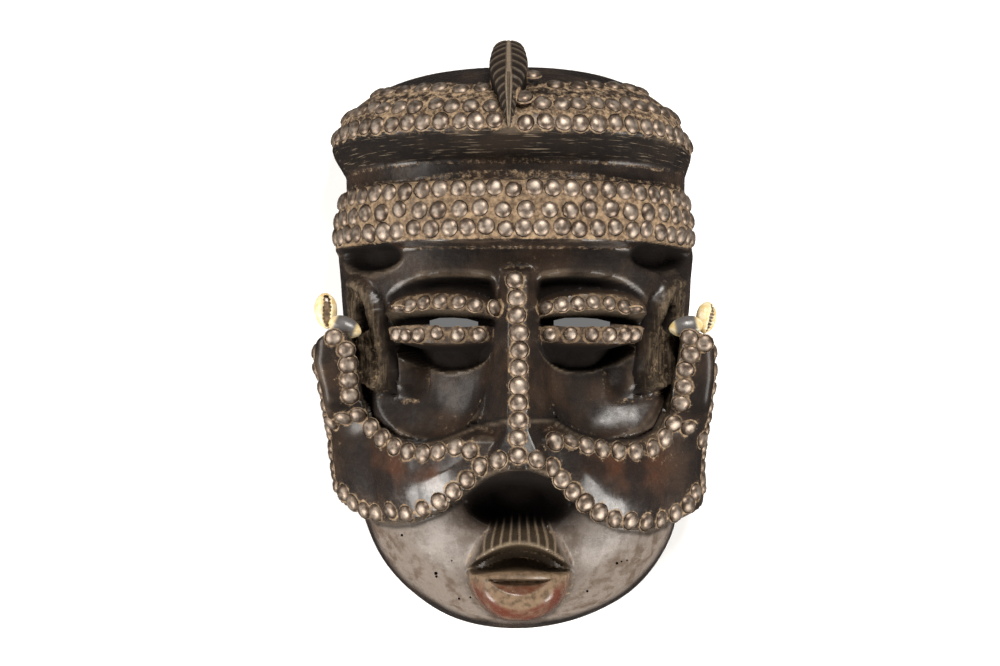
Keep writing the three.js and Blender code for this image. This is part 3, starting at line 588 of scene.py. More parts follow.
keel = pathThrough(crestKeel, crest["steps"] + 1)
keelRun = np.gradient(keel[:, :2], axis=0)
keelRun /= np.linalg.norm(keelRun, axis=1, keepdims=True)
share = np.linspace(0, 1, crest["steps"] + 1)[:, None]
over = np.linspace(-1, 1, crest["across"] + 1)[None, :]
side = np.abs(over)
spine = along(crestSpine, share[:, 0])[:, None]
phase = (share + crest["droop"] * side) * crest["ribs"]
rib = bell(phase, np.round(phase), 0.14) * ease(spine, spine + 0.1, side) * (1 - ease(0.85, 1, side))
spineLine = 1 - ease(spine * 0.9, spine + 0.05, side)
incised = bell(side, spine * 0.25, 0.035) * (share > 0.1) * (share < 0.4)
tall = crest["ribHeight"] * (rib + 0.5 * spineLine - 0.6 * incised) * ease(0, 0.06, share) * ease(1, 0.9, share)
down = -5 * (1 - np.cos(side * math.pi / 2)) ** 0.9
tuck = 0.35 + 0.65 * np.sin(math.pi * share)
crestX = crest["x"] + np.sin(over * math.pi / 2) * keel[:, 2:3]
lowered = down * tuck + tall
rootSteps = np.array([0.35, 0.7, 1])[None, :]
rootDown = lerp(-5, -crest["root"], rootSteps) * tuck
crestSide = np.repeat(keel[:, 2:3], rootSteps.size, axis=1)
crestX = np.hstack([crestX, crest["x"] + crestSide, crest["x"] - crestSide, crestX[:, :1]])
lowered = np.hstack([lowered, rootDown, rootDown[:, ::-1], lowered[:, :1]])
crestPoints = np.stack([
    crestX,
    keel[:, :1] - keelRun[:, 1:] * lowered,
    keel[:, 1:2] + keelRun[:, :1] * lowered,
], -1)
for end in (0, -1):
    crestPoints[end] = crestPoints[end].mean(0)
ribPaint = np.zeros(crestPoints.shape[:2])
ribPaint[:, :crest["across"] + 1] = rib * 0.55 + spineLine * (1 - 0.8 * incised)
crestGrid = toFrame(*np.moveaxis(crestPoints, -1, 0))
crestTool = wovenSheet("crest_tool", crestGrid)
closeUp(crestTool)
combine(wood, crestTool, "UNION")
print("crest joined", len(wood.data.polygons))

# Old worm holes in the jaw: [x, y, radius]
wormHoles = [[-62.1, -109.3, 0.9], [-43.6, -130, 1.25], [-43.3, -131.8, 0.9], [-31, -144, 0.9],
             [-24.8, -143.2, 0.7], [55, -124.5, 1.0], [57.4, -123.6, 0.7], [60.5, -123, 0.6],
             [38.8, -139.8, 0.9], [-34.9, -122.9, 0.6]]


def roundFace(x, y):  # how far round the arch the place seen at x lies
    reach = np.linspace(0, quarterArc, 500)
    placeX = maskSurface(math.copysign(1, x) * reach, np.full(500, float(y)))[0]
    return math.copysign(1, x) * np.interp(abs(x), np.maximum.accumulate(np.abs(placeX)), reach)


for holeX, holeY, radius in wormHoles:
    depthHere = maskSurface(np.array([roundFace(holeX, holeY)]), np.array([float(holeY)]))[2][0]
    clearSelection()
    bpy.ops.mesh.primitive_cone_add(vertices=7, radius1=radius * mm / 2, radius2=radius * mm, depth=9 * mm)
    drill = bpy.context.object
    setPlaces(drill, placesOf(drill) + toFrame(holeX, holeY, depthHere - 1.5))
    combine(wood, drill, "DIFFERENCE")

# Cowrie shells, one beside each ear and one on each horn tip. The gap is the toothed slit's width.
cowries = {
    "cowrie_left_ear": {"size": [6.2, 9.8, 5], "turn": [0, 0.1, 0.08], "gap": 0.30, "open": 0.6},
    "cowrie_left_horn": {"size": [5.8, 9.4, 4.8], "turn": [math.pi - 0.3, 0, 1.95], "gap": 0.12, "open": 0.35},
    "cowrie_right_ear": {"size": [6, 8.8, 5], "turn": [0, 0.75, -0.2], "gap": 0.2, "open": 0.6},
    "cowrie_right_horn": {"size": [5.8, 9.4, 4.8], "turn": [math.pi - 0.3, 0, -1.75], "gap": 0.12, "open": 0.35},
}


def turned(points, turn):  # turned about x, then y, then z, in the piece's own axes
    spin = Matrix.Rotation(turn[0], 3, "X") @ Matrix.Rotation(turn[1], 3, "Y") @ Matrix.Rotation(turn[2], 3, "Z")
    return points @ np.array(spin).T


def shellShape(unit, size, gap, opening, grown=0.0):
    x, y, z = np.moveaxis(unit, -1, 0)
    belly = ease(0.1, 0.6, z)
    lips = np.abs(x - 0.08 * np.sin(y * 3) - 0.05)
    gap = gap * np.sqrt(np.maximum(1 - (y / 0.92) ** 2, 0)) + 0.05 * np.cos(y * 30) + 0.03 * np.sin(y * 11)
    teeth = 0.06 * np.cos(y * 30) * bell(lips, gap + 0.1, 0.1) * (np.abs(y) < 0.8)
    mouthOpen = (1 - ease(gap - 0.04, gap + 0.08, lips)) * (1 - ease(0.78, 0.95, np.abs(y)))
    flat = np.minimum(z, 0.78 + 0.08 * z)
    wide = 1 + 0.1 * y - 0.1 * ease(0.6, 1, np.abs(y))
    shaped = np.stack([x * wide * (size[0] + grown), y * (size[1] + grown),
                       (flat + belly * (teeth - opening * mouthOpen)) * (size[2] + grown)], -1)
    return shaped, belly * mouthOpen, z


def ballAcross(name, segments, rings):  # a ball with its poles along y
    clearSelection()
    bpy.ops.mesh.primitive_uv_sphere_add(segments=segments, ring_count=rings, radius=1)
    ball = bpy.context.object
    ball.name = name
    return ball, placesOf(ball)[:, [0, 2, 1]] * [1, 1, -1]


shells = []
for name, look in cowries.items():
    low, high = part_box(name)
    shell, unit = ballAcross(name.replace("cowrie", "shell"), 56, 72)
    shaped, slitPaint, backPaint = shellShape(unit, look["size"], look["gap"], look["open"])
    placed = turned(shaped, look["turn"]) * mm
    centre = np.array((low + high) / 2) - (placed.min(0) + placed.max(0)) / 2
    setPlaces(shell, placed + centre)
    paint(shell, "slit", slitPaint)
    paint(shell, "back", ease(0.1, -0.5, backPaint))
    paint(shell, "ends", ease(0.5, 0.75, np.abs(unit[:, 1])))
    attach(shell, "root")
    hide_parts(name)
    shells.append(shell)
    seat, unit = ballAcross("shell_seat", 24, 16)
    setPlaces(seat, turned(shellShape(unit, look["size"], 0.05, 0, 0.3)[0], look["turn"]) * mm + centre)
    combine(wood, seat, "DIFFERENCE")
print("shells", len(shells))

# Domed tacks. Every head is a copy of one, a little turned, tilted and dented by hand.
tackShape = {"radius": 4.9, "lidRadius": 4.15, "height": 2.3, "skirt": 1.0, "sides": 12, "rings": 6,
             "collar": [[1.04, -0.14], [1.09, 0.0], [1.14, -0.22]], "tilt": 0.07, "sizeSpread": 0.035, "dent": 0.045,
             "step": 1.4, "footing": 3.6, "overEdge": 0.8, "above": 12, "below": 10, "leastUpright": 0.82}
ringStep = 0.001  # each ring of the collar starts this far below the last, so that it can be told apart
chance = np.random.default_rng(21)
woodTree = BVHTree.FromObject(wood, bpy.context.evaluated_depsgraph_get())

clearSelection()
bpy.ops.mesh.primitive_uv_sphere_add(segments=tackShape["sides"], ring_count=tackShape["rings"], radius=1)
tackHead = bpy.context.object
tackHead.name = "tack_head"
bpy.ops.object.mode_set(mode="EDIT")
bpy.ops.mesh.select_all(action="SELECT")
bpy.ops.mesh.bisect(plane_co=(0, 0, 0), plane_no=(0, 0, 1), clear_inner=True)
bpy.ops.mesh.select_all(action="DESELECT")
bpy.ops.mesh.select_mode(type="EDGE")
bpy.ops.mesh.select_non_manifold(extend=False)
for _ in tackShape["collar"]:
    bpy.ops.mesh.extrude_region_move()
    bpy.ops.transform.resize(value=(1.02, 1.02, 1))
    bpy.ops.transform.translate(value=(0, 0, -ringStep))
bpy.ops.mesh.extrude_region_move(TRANSFORM_OT_translate={"value": (0, 0, -ringStep)})
bpy.ops.mesh.edge_face_add()
bpy.ops.mesh.select_all(action="SELECT")
bpy.ops.mesh.normals_make_consistent(inside=False)
bpy.ops.mesh.select_mode(type="VERT")
bpy.ops.object.mode_set(mode="OBJECT")
dome = placesOf(tackHead)
ring = np.rint(np.maximum(-dome[:, 2], 0) / ringStep).astype(int)  # nought on the dome, then out over the collar
atFoot = ring > 0
collar = np.array([[1, 0]] + tackShape["collar"] + [tackShape["collar"][-1]])
domeHeight = np.where(atFoot, collar[ring, 1], np.maximum(dome[:, 2], 0) ** 0.9)
domeHeight = np.where(ring == len(collar) - 1, -tackShape["skirt"] / tackShape["height"], domeHeight)
reach = np.linalg.norm(dome[:, :2], axis=1)
dome[:, :2] *= np.where(atFoot, collar[ring, 0] / np.maximum(reach, 1e-6), 1)[:, None]
paint(tackHead, "rim", np.where(atFoot, 1, 1 - dome[:, 2]))
paint(tackHead, "collar", ease(1.2, 1.8, ring))


def faceSpots(spots):  # [x, y] seen from the front, as [s, y] on the face
    return np.array([[roundFace(x, y), y] for x, y in spots])


def levelSpots(start, end, height):  # a row that sags towards the sides with its band
    s = np.linspace(start, end, 40)
    y = np.full(40, float(height))
    for _ in range(10):
        y = height - sag(s, y)
    return np.stack([s, y], -1)


def seatOn(spot):  # where a head sits on the wood and which way is out
    s, y = spot
    step = tackShape["step"]
    around = np.array([[s, y], [s - step, y], [s + step, y], [s, y - step], [s, y + step]])
    points = toFrame(*maskSurface(around[:, 0], around[:, 1])[:3])
    out = np.cross(points[2] - points[1], points[4] - points[3])
    out /= np.linalg.norm(out)
    sideways = np.cross([0, 1, 0], out)
    sideways /= np.linalg.norm(sideways)
    upward = np.cross(out, sideways)
    feet = []
    for turn in np.arange(8) * math.pi / 4:
        foot = points[0] + (sideways * math.cos(turn) + upward * math.sin(turn)) * tackShape["footing"] * mm
        above, below = tackShape["above"] * mm, tackShape["below"] * mm
        hit = woodTree.ray_cast(Vector(foot + out * above), Vector(-out), above + below)[0]
        feet.append(np.array(hit) if hit else foot)
    feet = np.array(feet)
    heights = (feet - points[0]) @ out
    feet = feet[heights > np.median(heights) - tackShape["overEdge"] * mm]  # the others hang over an edge
    middle = feet.mean(0)
    normal = np.linalg.svd(feet - middle)[2][2]
    if normal @ out < 0:
        normal = -normal
    if normal @ out < tackShape["leastUpright"]:
        normal = out
    seat = points[0] + out * ((middle - points[0]) @ out)
    return seat + normal * max(((feet - middle) @ normal).max() * 0.35, 0), normal


tackSeats = []


def evenly(path, pitch):  # places a pitch apart along a path over the face
    fine = pathThrough(path, 400)
    points = np.stack(maskSurface(fine[:, 0], fine[:, 1])[:3], -1)
    reached = np.concatenate([[0], np.cumsum(np.linalg.norm(np.diff(points, axis=0), axis=1))])
    wanted = np.linspace(0, reached[-1], int(round(reached[-1] / pitch)) + 1)
    return np.stack([np.interp(wanted, reached, fine[:, 0]), np.interp(wanted, reached, fine[:, 1])], -1)


def tackRow(name, spots, cad=(), radius=tackShape["radius"], wander=0.3):
    heads = []
    for index, spot in enumerate(spots):
        nudge = chance.normal(0, 1, 8)
        seat, out = seatOn(spot + np.clip(nudge[:2], -1.5, 1.5) * wander)
        size = radius * (1 + tackShape["sizeSpread"] * np.clip(nudge[2], -2, 2)) * mm
        points = dome.copy()
        points[:, 2] = domeHeight * tackShape["height"] / tackShape["radius"]
        dent = softNoise(dome * 2 + index * 3.7 + nudge[3], 1.3, 31) * tackShape["dent"]
        points *= (1 + dent * (~atFoot))[:, None]
        facing = Vector(out).to_track_quat("Z", "Y").to_matrix()
        tip = Matrix.Rotation(tackShape["tilt"] * np.clip(nudge[4], -1.6, 1.6), 3, "X")
        tip = tip @ Matrix.Rotation(tackShape["tilt"] * np.clip(nudge[5], -1.6, 1.6), 3, "Y")
        spin = Matrix.Rotation(nudge[6] * 3, 3, "Z")
        copy = tackHead.copy()
        copy.data = tackHead.data.copy()
        bpy.context.collection.objects.link(copy)
        setPlaces(copy, points @ np.array(facing @ tip @ spin).T * size + seat)
        paint(copy, "tone", np.full(len(points), nudge[7]))
        heads.append(copy)
        tackSeats.append(seat)
    pickOnly(*heads)
    if len(heads) > 1:
        bpy.ops.object.join()
    row = bpy.context.view_layer.objects.active
    row.name = name
    bpy.ops.object.shade_smooth_by_angle(angle=math.radians(50))
    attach(row, "root")
    if cad:
        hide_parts(*cad)
    tackRows.append(row)


tackRows = []
# Rows on the cap and the bands, level with the brim: [name, from s, to s, height, pitch, solid]
for name, start, end, height, pitch, cad in [
    ["cap_brim_row_left", -10.5, -129, 115.4, 9.9, ["tacks_cap_lower_left"]],
    ["cap_brim_row_right", 5.2, 129, 115.6, 10.2, ["tacks_cap_lower_right"]],
    ["cap_middle_row_left", -13, -126, 124.7, 10.4, ["tacks_cap_middle_left"]],
    ["cap_middle_row_right", 4, 126, 125.6, 10.4, ["tacks_cap_middle_right"]],
    ["cap_top_row_left", -21, -112, 133.8, 12.2, []],
    ["cap_top_row_right", 10.5, 112, 135.4, 13.5, []],
    ["band_upper_row", -128, 128, 79.0, 10.7, ["tacks_band_upper"]],
    ["band_middle_row", -126, 126, 68.2, 12.0, []],
    ["band_lower_row", -128, 128, 58.2, 10.4, ["tacks_band_lower"]],
]:
    tackRow(name, evenly(levelSpots(start, end, height), pitch), cad, wander=0.55)

# Rows that wander over the face, each tack where the maker drove it
nosePath = [[-0.4, 29.4], [1.1, 3.2], [1.5, -25.6], [1, -65.2]]
tackRow("nose_row", evenly(faceSpots(nosePath), 9.45), ["tacks_nose"])
for name, spots in {
    "left_upper_lid": [[-63.4, 13.8], [-57.6, 16.2], [-50.4, 17.6], [-41.4, 18.2], [-31.3, 17.7], [-22.2, 16.2],
                       [-13.8, 13.4]],
    "left_lower_lid": [[-65.1, -0.3], [-60.3, -0.4], [-53.3, -0.2], [-43.3, 0.9], [-31.8, 0], [-20.1, -0.4]],
    "right_upper_lid": [[15.9, 15], [24.6, 16.2], [33.6, 16.9], [42, 17.8], [50.7, 16.9], [58.9, 15.3], [64.4, 13.4]],
    "right_lower_lid": [[18.4, 0], [29.6, 0.2], [41.1, 0], [50.5, -0.2], [58.9, -0.4], [64.6, -0.4]],
    "left_plate_lower": [[-9.9, -67.5], [-19.2, -71.3], [-26.6, -78.3], [-34.2, -84.9], [-41.5, -90.8],
                         [-50.8, -94.6], [-59.6, -97.6], [-68.2, -96], [-76.2, -97.1], [-83, -95.6],
                         [-89.4, -92.2], [-94.4, -86.6]],
    "right_plate_lower": [[11.6, -67.2], [19.4, -71.6], [24.8, -78.4], [31, -85], [37.8, -91.2], [45.3, -96.4],
                          [53.6, -99.8], [62.2, -101.2], [70.8, -101.9], [79.1, -100.8], [87.2, -97.4],
                          [94, -92.5], [98.4, -86.2], [102, -79.5]],
    "left_plate_upper": [[-86.2, -44], [-79.5, -50.6], [-73.6, -56.4], [-66.2, -61], [-58.9, -63.6],
                         [-50.5, -64.6], [-42, -63.4], [-32.9, -60.8], [-25, -62.6]],
    "right_plate_upper": [[21.3, -57.5], [29.7, -57.2], [38.4, -59.8], [47, -62], [55.6, -63.3], [65.1, -63.8],
                          [74.3, -62.3], [81, -56.6], [85.6, -48.6]],
}.items():
    radius = tackShape["lidRadius" if "lid" in name else "radius"]
    tackRow(name + "_row", faceSpots(spots), ["tacks_" + name], radius, 0.1)
for name, spots in [
    ["left_horn_column", [[-92.4, -8.7], [-91.2, -16.3], [-91, -24.6], [-90.3, -33.4]]],
    ["right_horn_column", [[94.7, -10.7], [92.2, -19.3], [91.4, -28.4], [89.7, -37.6]]],
    ["left_cross_row", [[-94, -45.6], [-101.3, -48.6]]],
    ["right_cross_row", [[93.9, -50.6], [101.6, -57.3]]],
    ["left_tip_tack", [[-98.9, -1.6]]],
    ["right_tip_tacks", [[94, -1.8], [102.2, -5]]],
]:
    tackRow(name, faceSpots(spots), wander=0.1)
# Two staggered rows down the side of each plate
for side, word in ((-1, "left"), (1, "right")):
    for inner, s in enumerate((plateEdge - 6, plateEdge - 16.5)):
        path = [[side * s, -88 + 5.2 * inner], [side * s, -12 + 3 * inner]]
        tackRow(word + ("_edge_row", "_inner_edge_row")[inner], evenly(path, 10.5),
                [] if inner else ["tacks_" + word + "_plate_edge"], tackShape["lidRadius"])
bpy.data.objects.remove(tackHead)
print("tack heads", len(tackSeats))

# Masks for the wood's finish, its painted shade and its painted highlights, carried from the sheets that it was made
# of to its final vertices
away = np.abs(gridS)
gridLevel = gridY + sag(gridS, gridY)
onPlate = ease(-0.5, 0.8, gridInside)
plateLine = bell(gridInside, 0.9, 0.7) * ease(-20, -40, gridY)
underEdge = bell(gridInside, -1.2, 1.3) * (gridY < -40)
plateRim = ease(13, 8, gridInside) * onPlate * ease(150, 120, away)
hollowNose = ovalReach(underNose, gridX, gridY)
# The jaw's light grey-taupe is partly its own tone and partly a painted sheen; the mask fades it to dark wood at the
# jaw's rounded outer edge and beside the hollow under the nose, as painted shade
jawSheenMask = ease(-74, -84, gridY) * ease(0.6, -1.2, gridInside) * ease(36, 48, gridZ)
jawSheenMask = jawSheenMask * ease(0.95, 1.55, hollowNose)
across, _, arched, arris, flute, inLens = mouthPlaces(gridX, gridY)
pout = ease(1.06, 1.0, gridReach) * (gridY < -98)
# painted highlight along the lit wavy edge of the upper lip
mouthEdgeHighlight = bell(arched, -112.7, 0.9) * (np.abs(across) < 24) * pout
mouthMask = ease(-129, -126, gridY) * ease(-113.2, -114.5, arched) * pout
lowerLip = pout * ease(-127.5, -129, gridY)
redLip = np.maximum(ease(0.74, 0.82, gridReach) * ease(-132, -139, gridY),
                    0.9 * (inLens > 0.02) * ease(-134, -137, gridY))
edges, atEye = eyeEdges(gridS)


def eyeStrip(low, lowEase, high, highEase):  # between two of the eye's edges, each with its softness
    return (ease(edges[low] + min(lowEase), edges[low] + max(lowEase), gridY)
            * ease(edges[high] + max(highEase), edges[high] + min(highEase), gridY) * atEye)


lidMask = np.maximum(eyeStrip("lidEdge", (-0.6, 0), "lidTop", (-0.5, 2)),
                     eyeStrip("lowerFoot", (-2.5, 0), "lowerEdge", (0, 0.4)))
bagMask = eyeStrip("bag", (-0.4, 0.8), "lowerFoot", (-1.5, 0))
browMask = eyeStrip("lidTop", (0, 2), "brow", (-1.2, 0))
slitMask = eyeStrip("lowerEdge", (0, 0.5), "slitTop", (0, 0.8))
# painted highlight on the underside of the upper lid, over the slit
underLidHighlight = eyeStrip("slitTop", (0, 1), "lidEdge", (0, 0.5))
browLine = bell(gridY, edges["brow"] + 0.6, 0.7) * atEye
bagLine = bell(gridY, edges["bag"] - 0.8, 0.7) * atEye
downSide = ease(144, 126, away)
onBand = ease(-1, 1, gridLevel - band["bottom"]) * ease(0.5, -1, gridLevel - band["top"]) * downSide
onCap = ease(-0.7, 0.5, gridLevel - cap["edge"]) * ease(141, 135, gridLevel) * downSide
brimUnder = ease(0, 1.5, gridLevel - cap["neck"]) * ease(0.2, -0.8, gridLevel - cap["edge"])
scoopMask = 1 - ease(0.8, 1.02, ovalReach(templeScoop, away, gridY))
pitMask = 1 - ease(0.6, 1.1, ovalReach(earPit, away, gridY))
earGroove = bell(depthInside(earFlap, away, gridY), -1.4, 1.2) * ease(86, 80, away) * (gridInside < 0)
besideHorn = bell(gridInside, -1.4, 1.1) * ease(-62, -50, gridY) * ease(6, 0, gridY) * ease(120, 110, away)
inCheek = ease(1, 0.7, np.hypot((away - cheek["s"]) / 42, (gridY - cheek["y"]) / 46)) * (gridInside < 0)
temple = ease(58, 66, away) * ease(80, 74, away) * ease(-34, -20, gridY) * ease(46, 30, gridY)
dulled = 1 - 0.4 * onPlate * ease(-84, -70, gridY) - 0.4 * ease(100, 112, away) * (gridY > -60)
dulled = dulled * (1 - 0.5 * ease(136, 142, gridLevel))
sources = {  # a mask over the face, or also what the crest and the hollow have in its place
    # jaw: light tone, partly a painted sheen, with painted shade at its edges
    "jaw": jawSheenMask * ease(0.95, 1.2, gridReach),
    "gloss": (np.clip((0.5 + 0.5 * onPlate - 0.2 * jawSheenMask - 0.2 * inCheek) * dulled, 0, 1), 0.3, 0),
    "lid": lidMask,
    "pout": pout,
    "lowerLip": lowerLip,
    "lip": pout * redLip,
    "ear": earMask,
    # paintedShade: painted shade, dark where shade falls: the bags under the eyes, under the brows, in the slits,
    # under the brim, in the temple scoops, the ear pits and grooves, beside the horns, under the plates' edges, in
    # the hollow under the nose, in the open mouth and in the flutes
    "paintedShade": (np.maximum.reduce([
        bagMask, browMask, slitMask, brimUnder * 0.7, scoopMask, pitMask, earGroove, besideHorn, 0.8 * underEdge,
        (1 - ease(0.7, 1.1, hollowNose)) * (gridY < -74), mouthMask * 0.2, 0.3 * flute * pout]), 0.75, 0),
    "bed": np.maximum.reduce([onBand, onCap * 0.8, lidMask * 0.45, 0.4 * plateRim, 0.3 * temple]),
    # wornLinesAndHighlights: painted highlights on the upper lip's edge and the upper lids' undersides, lighter lines
    # on the flute ridges, worn tan lines along the brows, bags and plate edges, and the crest's light ribs and spine
    "wornLinesAndHighlights": (np.maximum.reduce([0.1 * browLine, 0.2 * bagLine, 0.45 * arris, 0.7 * mouthEdgeHighlight, 0.28 * underLidHighlight,
                                0.25 * plateLine]), ribPaint * 0.5, 0),
    "red": onPlate * bell(gridY, -73, 11) * ease(26, 42, away) * ease(112, 90, away),
    "brim": brimUnder,
    "around": (gridS, crestPoints[..., 0], hollowS),
    "level": (gridLevel, crestPoints[..., 1], hollowY),
    "crease": np.clip(gridCrease, -1, 1),
    "inside": (0, 0, 1),
}


def nearestTo(points):
    tree = KDTree(len(points))
    for index, point in enumerate(points):
        tree.insert(point, index)
    tree.balance()
    return tree


woodPoints = placesOf(wood)
sourceTree = nearestTo(np.vstack([grid.reshape(-1, 3) for grid in (woodGrid, crestGrid, hollowGrid)]))
nearestSource = np.array([sourceTree.find(point)[1] for point in woodPoints])
gridSizes = (gridS.size, ribPaint.size, hollowS.size)
for name, parts in sources.items():
    parts = parts if isinstance(parts, tuple) else (parts, 0, 0)
    values = [np.broadcast_to(np.ravel(part), size) for part, size in zip(parts, gridSizes)]
    paint(wood, name, np.concatenate(values)[nearestSource])
seatTree = nearestTo(tackSeats)
paint(wood, "tackDistance", [seatTree.find(point)[2] / mm for point in woodPoints])
print("wood finish masks", len(woodPoints))

pickOnly(wood)
bpy.ops.object.shade_smooth_by_angle(angle=math.radians(42))
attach(wood, "root")
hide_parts("carved_mask")
for shell in shells:
    pickOnly(shell)
    bpy.ops.object.shade_smooth()

# Materials. Colours are linear.


class Shading:  # builds a node tree; its methods hand back the sockets that they end in
    def __init__(self, tree, where):
        self.tree = tree
        self.where = where or self.node("ShaderNodeTexCoord").outputs["Object"]

    def connect(self, made, inputs):
        for key, value in inputs.items():
            if isinstance(value, bpy.types.NodeSocket):
                self.tree.links.new(value, made.inputs[key])
            else:
                made.inputs[key].default_value = value

    def node(self, kind, inputs=None, **settings):
        made = self.tree.nodes.new(kind)
        for key, value in settings.items():
            setattr(made, key, value)
        self.connect(made, inputs or {})
        return made

    def finish(self, inputs):
        self.connect(self.tree.nodes["Principled BSDF"], inputs)

    def read(self, name):
        return self.node("ShaderNodeAttribute", attribute_name=name).outputs["Fac"]

    def noise(self, scale, detail=3.0, roughness=0.55, where=None):
        inputs = {"Vector": where or self.where, "Scale": scale, "Detail": detail, "Roughness": roughness}
        return self.node("ShaderNodeTexNoise", inputs).outputs["Fac"]

    def ramp(self, value, start, end, low=0.0, high=1.0):
        inputs = {"Value": value, "From Min": start, "From Max": end, "To Min": low, "To Max": high}
        return self.node("ShaderNodeMapRange", inputs, interpolation_type="SMOOTHSTEP").outputs["Result"]

    def maths(self, operation, values, clamp=False):
        total = values[0]
        for value in values[1:]:
            made = self.node("ShaderNodeMath", {0: total, 1: value}, operation=operation, use_clamp=clamp)
            total = made.outputs[0]
        return total

    def times(self, *values):
        return self.maths("MULTIPLY", values)

    def plus(self, *values, clamp=False):
        return self.maths("ADD", values, clamp)

    def most(self, *values):
        return self.maths("MAXIMUM", values)

    def rest(self, value):  # what is left of one
        return self.maths("SUBTRACT", (1.0, value))

    def blend(self, share, first, second):
        return self.node("ShaderNodeMix", {0: share, 6: first, 7: second}, data_type="RGBA").outputs[2]

    def bump(self, strength, distance, height):
        inputs = {"Strength": strength, "Distance": distance, "Height": height}
        return self.node("ShaderNodeBump", inputs).outputs[0]

    def dusty(self, amount):
        made = self.node("ShaderNodeGroup", {}, node_tree=dustGroup)
        self.connect(made, {"Vector": self.where, "Amount": amount})
        return [made.outputs[name] for name in ("Mask", "Color", "Height")]


def newMaterial(name):
    material = bpy.data.materials.new(name)
    material.use_nodes = True
    return material, Shading(material.node_tree, None)


# Ochre dust and old wax that broke up into specks: a mask from how much of it lies there
dustGroup = bpy.data.node_groups.new("dusty_crust", "ShaderNodeTree")
for name, way, kind in (("Vector", "INPUT", "Vector"), ("Amount", "INPUT", "Float"), ("Mask", "OUTPUT", "Float"),
                        ("Color", "OUTPUT", "Color"), ("Height", "OUTPUT", "Float")):
    dustGroup.interface.new_socket(name, in_out=way, socket_type="NodeSocket" + kind)
dustIn = dustGroup.nodes.new("NodeGroupInput").outputs
shade = Shading(dustGroup, dustIn["Vector"])
coarse = shade.noise(330, 4, 0.65)
speck = shade.noise(1500, 3, 0.7)
lying = shade.plus(shade.times(coarse, 0.65), shade.times(speck, 0.35), shade.times(dustIn["Amount"], 0.62), -0.86)
mask = shade.ramp(lying, -0.09, 0.13)
tint = shade.blend(shade.ramp(coarse, 0.35, 0.7), (0.115, 0.075, 0.046, 1), (0.33, 0.235, 0.145, 1))
shade.node("NodeGroupOutput", {"Mask": mask, "Color": tint, "Height": shade.times(mask, speck)})

woodLook = {
    "dark": (0.0105, 0.0075, 0.0062, 1), "brown": (0.028, 0.017, 0.011, 1), "red": (0.050, 0.019, 0.009, 1),
    # jaw: light grey-taupe, partly a painted sheen
    "jaw": (0.150, 0.124, 0.105, 1), "jawStain": (0.075, 0.052, 0.036, 1), "lip": (0.080, 0.018, 0.008, 1),
    "ear": (0.020, 0.014, 0.009, 1), "earTan": (0.090, 0.066, 0.043, 1), "raw": (0.115, 0.085, 0.062, 1),
    "pout": (0.040, 0.027, 0.015, 1), "lipTan": (0.170, 0.115, 0.074, 1), "worn": (0.30, 0.235, 0.165, 1),
    # near-black painted shade for the recesses
    "paintedShade": (0.0055, 0.0042, 0.0036, 1),
}
woodMaterial, shade = newMaterial("oiled_dark_wood")
roundFront = shade.node("ShaderNodeCombineXYZ", {"X": shade.times(shade.read("around"), 0.045),
                                                 "Y": shade.read("level")}).outputs[0]
stretched = shade.node("ShaderNodeMapping", {"Vector": shade.where, "Scale": (1, 0.09, 1)}).outputs[0]
cloud = shade.noise(42)
fineGrain = shade.noise(1700, 3, 0.6, stretched)
veins = shade.noise(620, 4, 0.6, stretched)
scratch = shade.noise(1.3, 3, 0.6, roundFront)
tackRing = shade.ramp(shade.read("tackDistance"), 7.0, 5.0)
tackHaze = shade.ramp(shade.read("tackDistance"), 11, 6)
crease = shade.ramp(shade.read("crease"), 0.10, 0.45)
edge = shade.ramp(shade.read("crease"), -0.12, -0.5)
ear, paintedShade, lip, inside = (shade.read(name) for name in ("ear", "paintedShade", "lip", "inside"))
jawToneAndSheen = shade.blend(shade.ramp(shade.noise(110, 5, 0.65), 0.44, 0.64, 0, 0.85), woodLook["jaw"],
                      woodLook["jawStain"])
jawToneAndSheen = shade.blend(shade.ramp(veins, 0.56, 0.72, 0, 0.5), jawToneAndSheen, woodLook["jawStain"])
earTone = shade.blend(shade.ramp(veins, 0.42, 0.66), woodLook["ear"], woodLook["earTan"])
